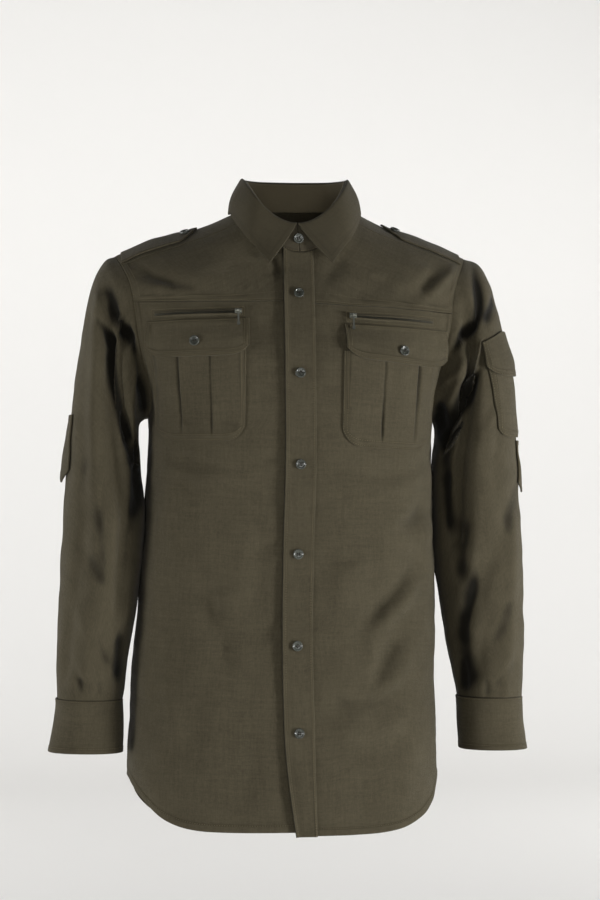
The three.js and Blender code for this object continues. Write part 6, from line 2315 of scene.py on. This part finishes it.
@dataclass(frozen=True)
class Button:
    """A four-hole shirt button with a raised rim, sewn on through its holes."""

    name: str
    place: Array
    normal: Array
    spin: float = 0.0
    radius: float = 6.4
    height: float = 2.6

    def axes(self) -> tuple[Array, Array, Array]:
        """Two axes across the button and its normal."""
        n = unit(np.asarray(self.normal, float))
        a = unit(np.cross(n, [0.0, 0.0, 1.0] if abs(n[2]) < 0.9 else [1.0, 0.0, 0.0]))
        b = np.cross(n, a)
        c, s = math.cos(self.spin), math.sin(self.spin)
        return a * c + b * s, b * c - a * s, n

    def build(self, shop: Workshop) -> None:
        """Makes the disc as a turned profile with four sunk holes, and two bars of thread over them."""
        a, b, n = self.axes()
        profile = np.array(
            [
                (0.0, 0.2), (0.7, 0.12), (0.86, 0.0), (0.97, 0.14), (1.0, 0.45), (0.985, 0.74), (0.93, 0.94),
                (0.86, 1.0), (0.78, 0.96), (0.71, 0.8), (0.65, 0.66), (0.58, 0.6), (0.5, 0.58), (0.42, 0.575),
                (0.34, 0.57), (0.27, 0.565), (0.2, 0.56), (0.13, 0.56), (0.06, 0.56), (0.0, 0.56),
            ]
        )
        turn = np.linspace(0, 2 * math.pi, 48, endpoint=False)
        r, t = lattice(profile[1:-1, 0] * self.radius, turn)
        h = np.repeat(profile[1:-1, 1:] * self.height, len(turn), axis=1)
        x, y = r * np.cos(t), r * np.sin(t)
        hole = np.zeros(r.shape)
        for sx in (-1, 1):
            for sy in (-1, 1):
                hole = np.maximum(hole, 1 - smooth(np.hypot(x - sx * 1.25, y - sy * 1.25), 0.45, 0.95))
        h = h - np.where(np.arange(len(profile) - 2)[:, None] > 7, hole * 0.9, 0)
        ring = self.place + x[..., None] * a + y[..., None] * b + h[..., None] * n
        ends = [self.place + n * 0.2 * self.height, self.place + n * 0.56 * self.height]
        rows, columns = r.shape
        verts = np.concatenate([ring.reshape(-1, 3), np.array(ends)])
        body = grid_faces(rows, columns, True, 0, False)
        k = np.arange(columns)
        nxt = (k + 1) % columns
        last = (rows - 1) * columns
        minus = np.full(columns, -1)
        low = np.stack([nxt, k, np.full(columns, len(verts) - 2), minus], -1)
        high = np.stack([last + k, last + nxt, np.full(columns, len(verts) - 1), minus], -1)
        obj = mesh_object(f"resin_{self.name}", verts * MM, np.concatenate([body, low, high]))
        obj.data.materials.append(shop.palette.button)
        shop.ride(obj, [self.name])
        top = self.place + n * (0.56 * self.height + 0.05)
        sewing = Thread(f"thread_{self.name}", shop.palette.tack, pitch=3.9, width=0.95, share=0.95)
        for place in (-1.25, 1.25):
            for shift in (-0.36, 0.36):
                line = np.stack([top + b * y0 + a * (place + shift) for y0 in (-1.95, 1.95)])
                sewing.add(line, np.stack([n, n]))
        shop.ride(sewing.build())


def buttons() -> list[Button]:
    """All the buttons, each at its place on the cloth that carries it."""
    made = []
    stand = stand_point(np.array(math.pi), np.array(0.5))
    place = points(centre_x(np.array(-35.0)), stand[1], stand[2]) + radial(stand) * 1.2
    made.append(Button("button_collar", place, radial(stand), 0.3))
    for k, z in enumerate(FRONT_BUTTON_Z):
        x = centre_x(np.array(z))
        p, n = on_front(x, np.array(z))
        place = p + n * (LAY_GAP + TWO_PLY + 0.35)
        made.append(Button(f"button_front_{k + 1}", place, n, 0.1 + 0.7 * (k % 3)))
    for hand, side in ((-1, "right"), (1, "left")):
        x, z = (np.array(v) for v in FLAP_BUTTON[hand])
        p, n = on_front(x, z)
        made.append(Button(f"button_flap_{side}", p + n * (LAY_GAP + 4.8 + TWO_PLY + 0.4), n, 0.5))
        strap = Epaulette(hand)
        x, q = strap.place(np.array(0.86), np.array(0.36))
        n = shoulder_normals(x, q)
        p = laid(shoulder_form(x, q), n, BODY_RELIEF)
        place = p + n * (float(strap.lift(np.array(0.86))) + TWO_PLY + 0.4)
        made.append(Button(f"button_strap_{side}", place, n, 0.2))
        cuff = Cuff(hand)
        down, phi = np.array(33.0), np.array(math.radians(-96))
        n = cuff.normals(down, phi)
        made.append(Button(f"button_cuff_{side}", cuff.surface(down, phi) + n * (TWO_PLY * 2 + 0.5), n, 0.4))
    return made


@dataclass
class ChestZip:
    """A closed zip in the yoke's seam: woven tape, two rows of fine teeth, slider and pull."""

    hand: int
    inner: tuple[float, float]
    outer: tuple[float, float]
    half: float = 3.6
    thick: float = 1.2
    box: float = 6.4
    tack: float = 4.2

    def place(self, along: Array, across: Array) -> tuple[Array, Array]:
        """Place and normal at a share along the zip and a distance above its middle."""
        x = lerp(self.inner[0], self.outer[0], along)
        z = lerp(self.inner[1], self.outer[1], along) + across
        return on_front(x, z)

    def tape(self) -> Grid:
        """Two welts of cloth that meet over the teeth: rounded lips with a narrow gap between them."""
        u, v = lattice(stations(2 * self.half, 0.45), stations(108, 1.6))
        across = lerp(-self.half, self.half, u)
        p, n = self.place(v, across)
        ends = smooth(np.minimum(v, 1 - v), 0.0, 0.035)
        gap = np.exp(-((across / 0.75) ** 2)) * ends
        lips = np.exp(-(((np.abs(across) - 1.7) / 0.9) ** 2)) * (0.75 + 0.25 * np.sin(v * 61 + across))
        sewn = np.exp(-(((np.abs(across) - 3.0) / 0.4) ** 2))
        low = np.full(p.shape[:2], LAY_GAP)
        high = low + self.thick * 0.75 + 0.75 * lips - 0.5 * gap - 0.3 * sewn
        high = np.where(np.abs(across) > self.half - 0.1, low + 0.4, high)
        # The gap between the lips is painted dark as shade.
        return Grid(p, n, low, high, rim=0.3, slit=gap)

    def teeth(self, shop: Workshop) -> bpy.types.Object:
        """Two rows of small bevelled blocks that mesh along the zip's middle."""
        pitch, length = 1.5, 104.0
        count = int(length / pitch)
        along = 0.055 + 0.93 * (np.arange(count) + 0.5) / count
        verts = []
        block = np.array([(-0.5, -0.5), (0.5, -0.5), (0.5, 0.5), (-0.5, 0.5)])
        for row, shift in ((-0.55, 0.0), (0.55, 0.5)):
            at = along + shift * 0.93 / count
            p, n = self.place(at, np.full(count, row))
            run = unit(self.place(at + 0.002, np.full(count, row))[0] - p)
            up = unit(np.cross(n, run))
            for low, size in ((self.thick + LAY_GAP - 0.1, 1.0), (self.thick + LAY_GAP + 0.55, 0.72)):
                corner = (
                    p[:, None]
                    + run[:, None] * (block[None, :, :1] * pitch * 0.62 * size)
                    + up[:, None] * (block[None, :, 1:] * 1.9 * size)
                    + n[:, None] * low
                )
                verts.append(corner)
        lower = [np.concatenate([verts[0], verts[1]], 1), np.concatenate([verts[2], verts[3]], 1)]
        solid = np.concatenate(lower).reshape(-1, 3)
        one = np.array([(0, 3, 2, 1), (4, 5, 6, 7), (0, 1, 5, 4), (1, 2, 6, 5), (2, 3, 7, 6), (3, 0, 4, 7)])
        every = (one[None] + (np.arange(count * 2) * 8)[:, None, None]).reshape(-1, 4)
        side = side_name(self.hand)
        obj = mesh_object(f"teeth_{side}", solid * MM, every, False)
        if np.dot(np.cross(solid[1] - solid[0], solid[3] - solid[0]), solid[4] - solid[0]) < 0:
            obj.data.flip_normals()
        obj.data.materials.append(shop.palette.teeth)
        return obj

    def build(self, shop: Workshop) -> None:
        """Makes the tape and the teeth, and dresses the slider and the pull."""
        side = side_name(self.hand)
        tape = shell_object(f"tape_{side}", self.tape(), shop.palette.twill)
        shop.ride(tape, [f"zip_{side}"])
        shop.ride(self.teeth(shop))
        sewing = Thread(f"stitches_zip_{side}", shop.palette.thread)
        run = np.linspace(-0.035, 1.035, 60)
        for across in (-self.box, self.box):
            p, n = self.place(run, np.full(60, across))
            sewing.add(p + n * 0.15, n)
        for along in (-0.035, 1.035):
            p, n = self.place(np.full(12, along), np.linspace(-self.box, self.box, 12))
            sewing.add(p + n * 0.15, n)
        for along in (-0.012, 1.012):
            zigzag = along + 0.008 * (np.arange(26) % 2 - 0.5)
            p, n = self.place(zigzag, np.linspace(-self.tack, self.tack, 26))
            sewing.add(p + n * 0.5, n)
        shop.ride(sewing.build())
        for part in ("slider", "pull"):
            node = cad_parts[f"{part}_{side}"]
            for k in range(len(node.material_slots)):
                node.material_slots[k].material = shop.palette.metal


# ---- studio ------------------------------------------------------------------------------------


@dataclass
class Studio:
    """Plain pale floor and wall, soft lights, and the camera."""

    floor_z: float = -1.25
    pale: tuple[float, float, float] = (0.82, 0.81, 0.79)

    def backdrop(self) -> None:
        """A floor that bends up into a wall behind the shirt."""
        line = np.linspace(0, 1, 60)
        bend = np.clip((line - 0.55) / 0.2, 0, 1) * math.pi / 2
        y = np.where(line < 0.55, lerp(-6.0, 4.4, line / 0.55), 4.4 + 1.6 * np.sin(bend))
        z = np.where(line < 0.55, 0.0, 1.6 * (1 - np.cos(bend))) + np.clip((line - 0.75) / 0.25, 0, 1) * 5.0
        x = np.linspace(-7, 7, 15)
        verts = points(np.broadcast_to(x, (60, 15)), y[:, None], self.floor_z + z[:, None]).reshape(-1, 3)
        obj = mesh_object("studio_floor", verts, grid_faces(60, 15, False, 0, False))
        material, _kit, shader = start_material("pale_floor")
        shader.inputs["Base Color"].default_value = self.pale + (1.0,)
        shader.inputs["Roughness"].default_value = 0.9
        obj.data.materials.append(material)

    def light(
        self, name: str, place: tuple, size: float, power: float, aim: tuple = (0.0, 0.0, -0.4)
    ) -> None:
        """One soft square light that looks at a point, which is the shirt's middle if none is given.

        Args:
            name: its name.
            place: where it stands, in metres.
            size: length of its side, in metres.
            power: its power in watts.
            aim: what it looks at, in metres.
        """
        data = bpy.data.lights.new(name, "AREA")
        data.shape, data.size, data.energy = "SQUARE", size, power
        obj = bpy.data.objects.new(name, data)
        bpy.context.scene.collection.objects.link(obj)
        obj.location = place
        obj.rotation_euler = (Vector(aim) - Vector(place)).to_track_quat("-Z", "Y").to_euler()

    def camera(self) -> None:
        """A level camera off the front, as far away as the photo's view."""
        turn = math.radians(VIEW_TURN)
        back = Vector((math.sin(turn), -math.cos(turn), 0.0))
        data = bpy.data.cameras.new("camera")
        data.lens, data.sensor_width, data.sensor_fit = VIEW_LENS, 36.0, "AUTO"
        data.clip_end = 60.0
        obj = bpy.data.objects.new("camera", data)
        bpy.context.scene.collection.objects.link(obj)
        obj.location = Vector(TARGET) * MM + back * VIEW_DISTANCE * MM
        obj.rotation_euler = (-back).to_track_quat("-Z", "Y").to_euler()
        bpy.context.scene.camera = obj

    def build(self) -> None:
        """Makes the floor, the lights, the sky light and the camera."""
        self.backdrop()
        self.light("key", (3.1, -1.8, -1.0), 1.0, 142.0)
        self.light("side", (-3.2, -1.35, -0.9), 1.0, 58.0)
        self.light("fill", (0.0, -3.6, -0.15), 1.3, 20.0)
        self.light("wall_left", (-2.4, 1.0, 0.2), 2.0, 42.0, aim=(0.3, 4.0, -0.7))
        self.light("wall_right", (2.4, 1.0, 0.2), 2.0, 35.0, aim=(-0.3, 4.0, -0.7))
        self.light("wall_left_far", (-2.8, 3.2, 0.2), 2.0, 36.0, aim=(0.3, 6.4, -0.7))
        self.light("wall_right_far", (2.8, 3.2, 0.2), 2.0, 36.0, aim=(-0.3, 6.4, -0.7))
        self.light("floor_top", (0.0, 3.4, 2.6), 2.0, 30.0, aim=(0.0, 3.6, -1.25))
        world = bpy.data.worlds.new("sky")
        bpy.context.scene.world = world
        world.use_nodes = True
        world.node_tree.nodes["Background"].inputs["Color"].default_value = (1.0, 0.99, 0.97, 1.0)
        world.node_tree.nodes["Background"].inputs["Strength"].default_value = 0.095
        view = bpy.context.scene.view_settings
        view.view_transform = "Standard"
        view.look = "None"
        self.camera()


def main() -> None:
    """Builds the studio and every piece of the shirt, in the order in which a maker would sew them."""
    logging.basicConfig(level=logging.INFO, format="%(name)s: %(message)s")
    Studio().build()
    shop = Workshop(Palette.build())
    for hand in (-1, 1):
        FrontPanel(hand).build(shop)
        FrontYoke(hand).build(shop)
    BackPanel().build(shop)
    BackYoke().build(shop)
    forms = {hand: SleeveForm(hand) for hand in (-1, 1)}
    for hand, form in forms.items():
        Sleeve(form).build(shop)
        Cuff(hand).build(shop)
        SleevePlacket(form).build(shop)
        Epaulette(hand).build(shop)
    SleeveTab(forms[-1], -258, -343, 4.6).build(shop)
    SleeveTab(forms[1], -290, -356, 3.2).build(shop)
    ArmPocket(forms[1]).build(shop)
    FrontBand().build(shop)
    for pocket in CHEST_POCKETS:
        pocket.build(shop)
    Collar().build(shop)
    for button in buttons():
        button.build(shop)
    ChestZip(-1, (-70.5, -132), (-176, -135)).build(shop)
    ChestZip(1, (63.5, -137), (172, -143)).build(shop)


if __name__ == "__main__":
    main()
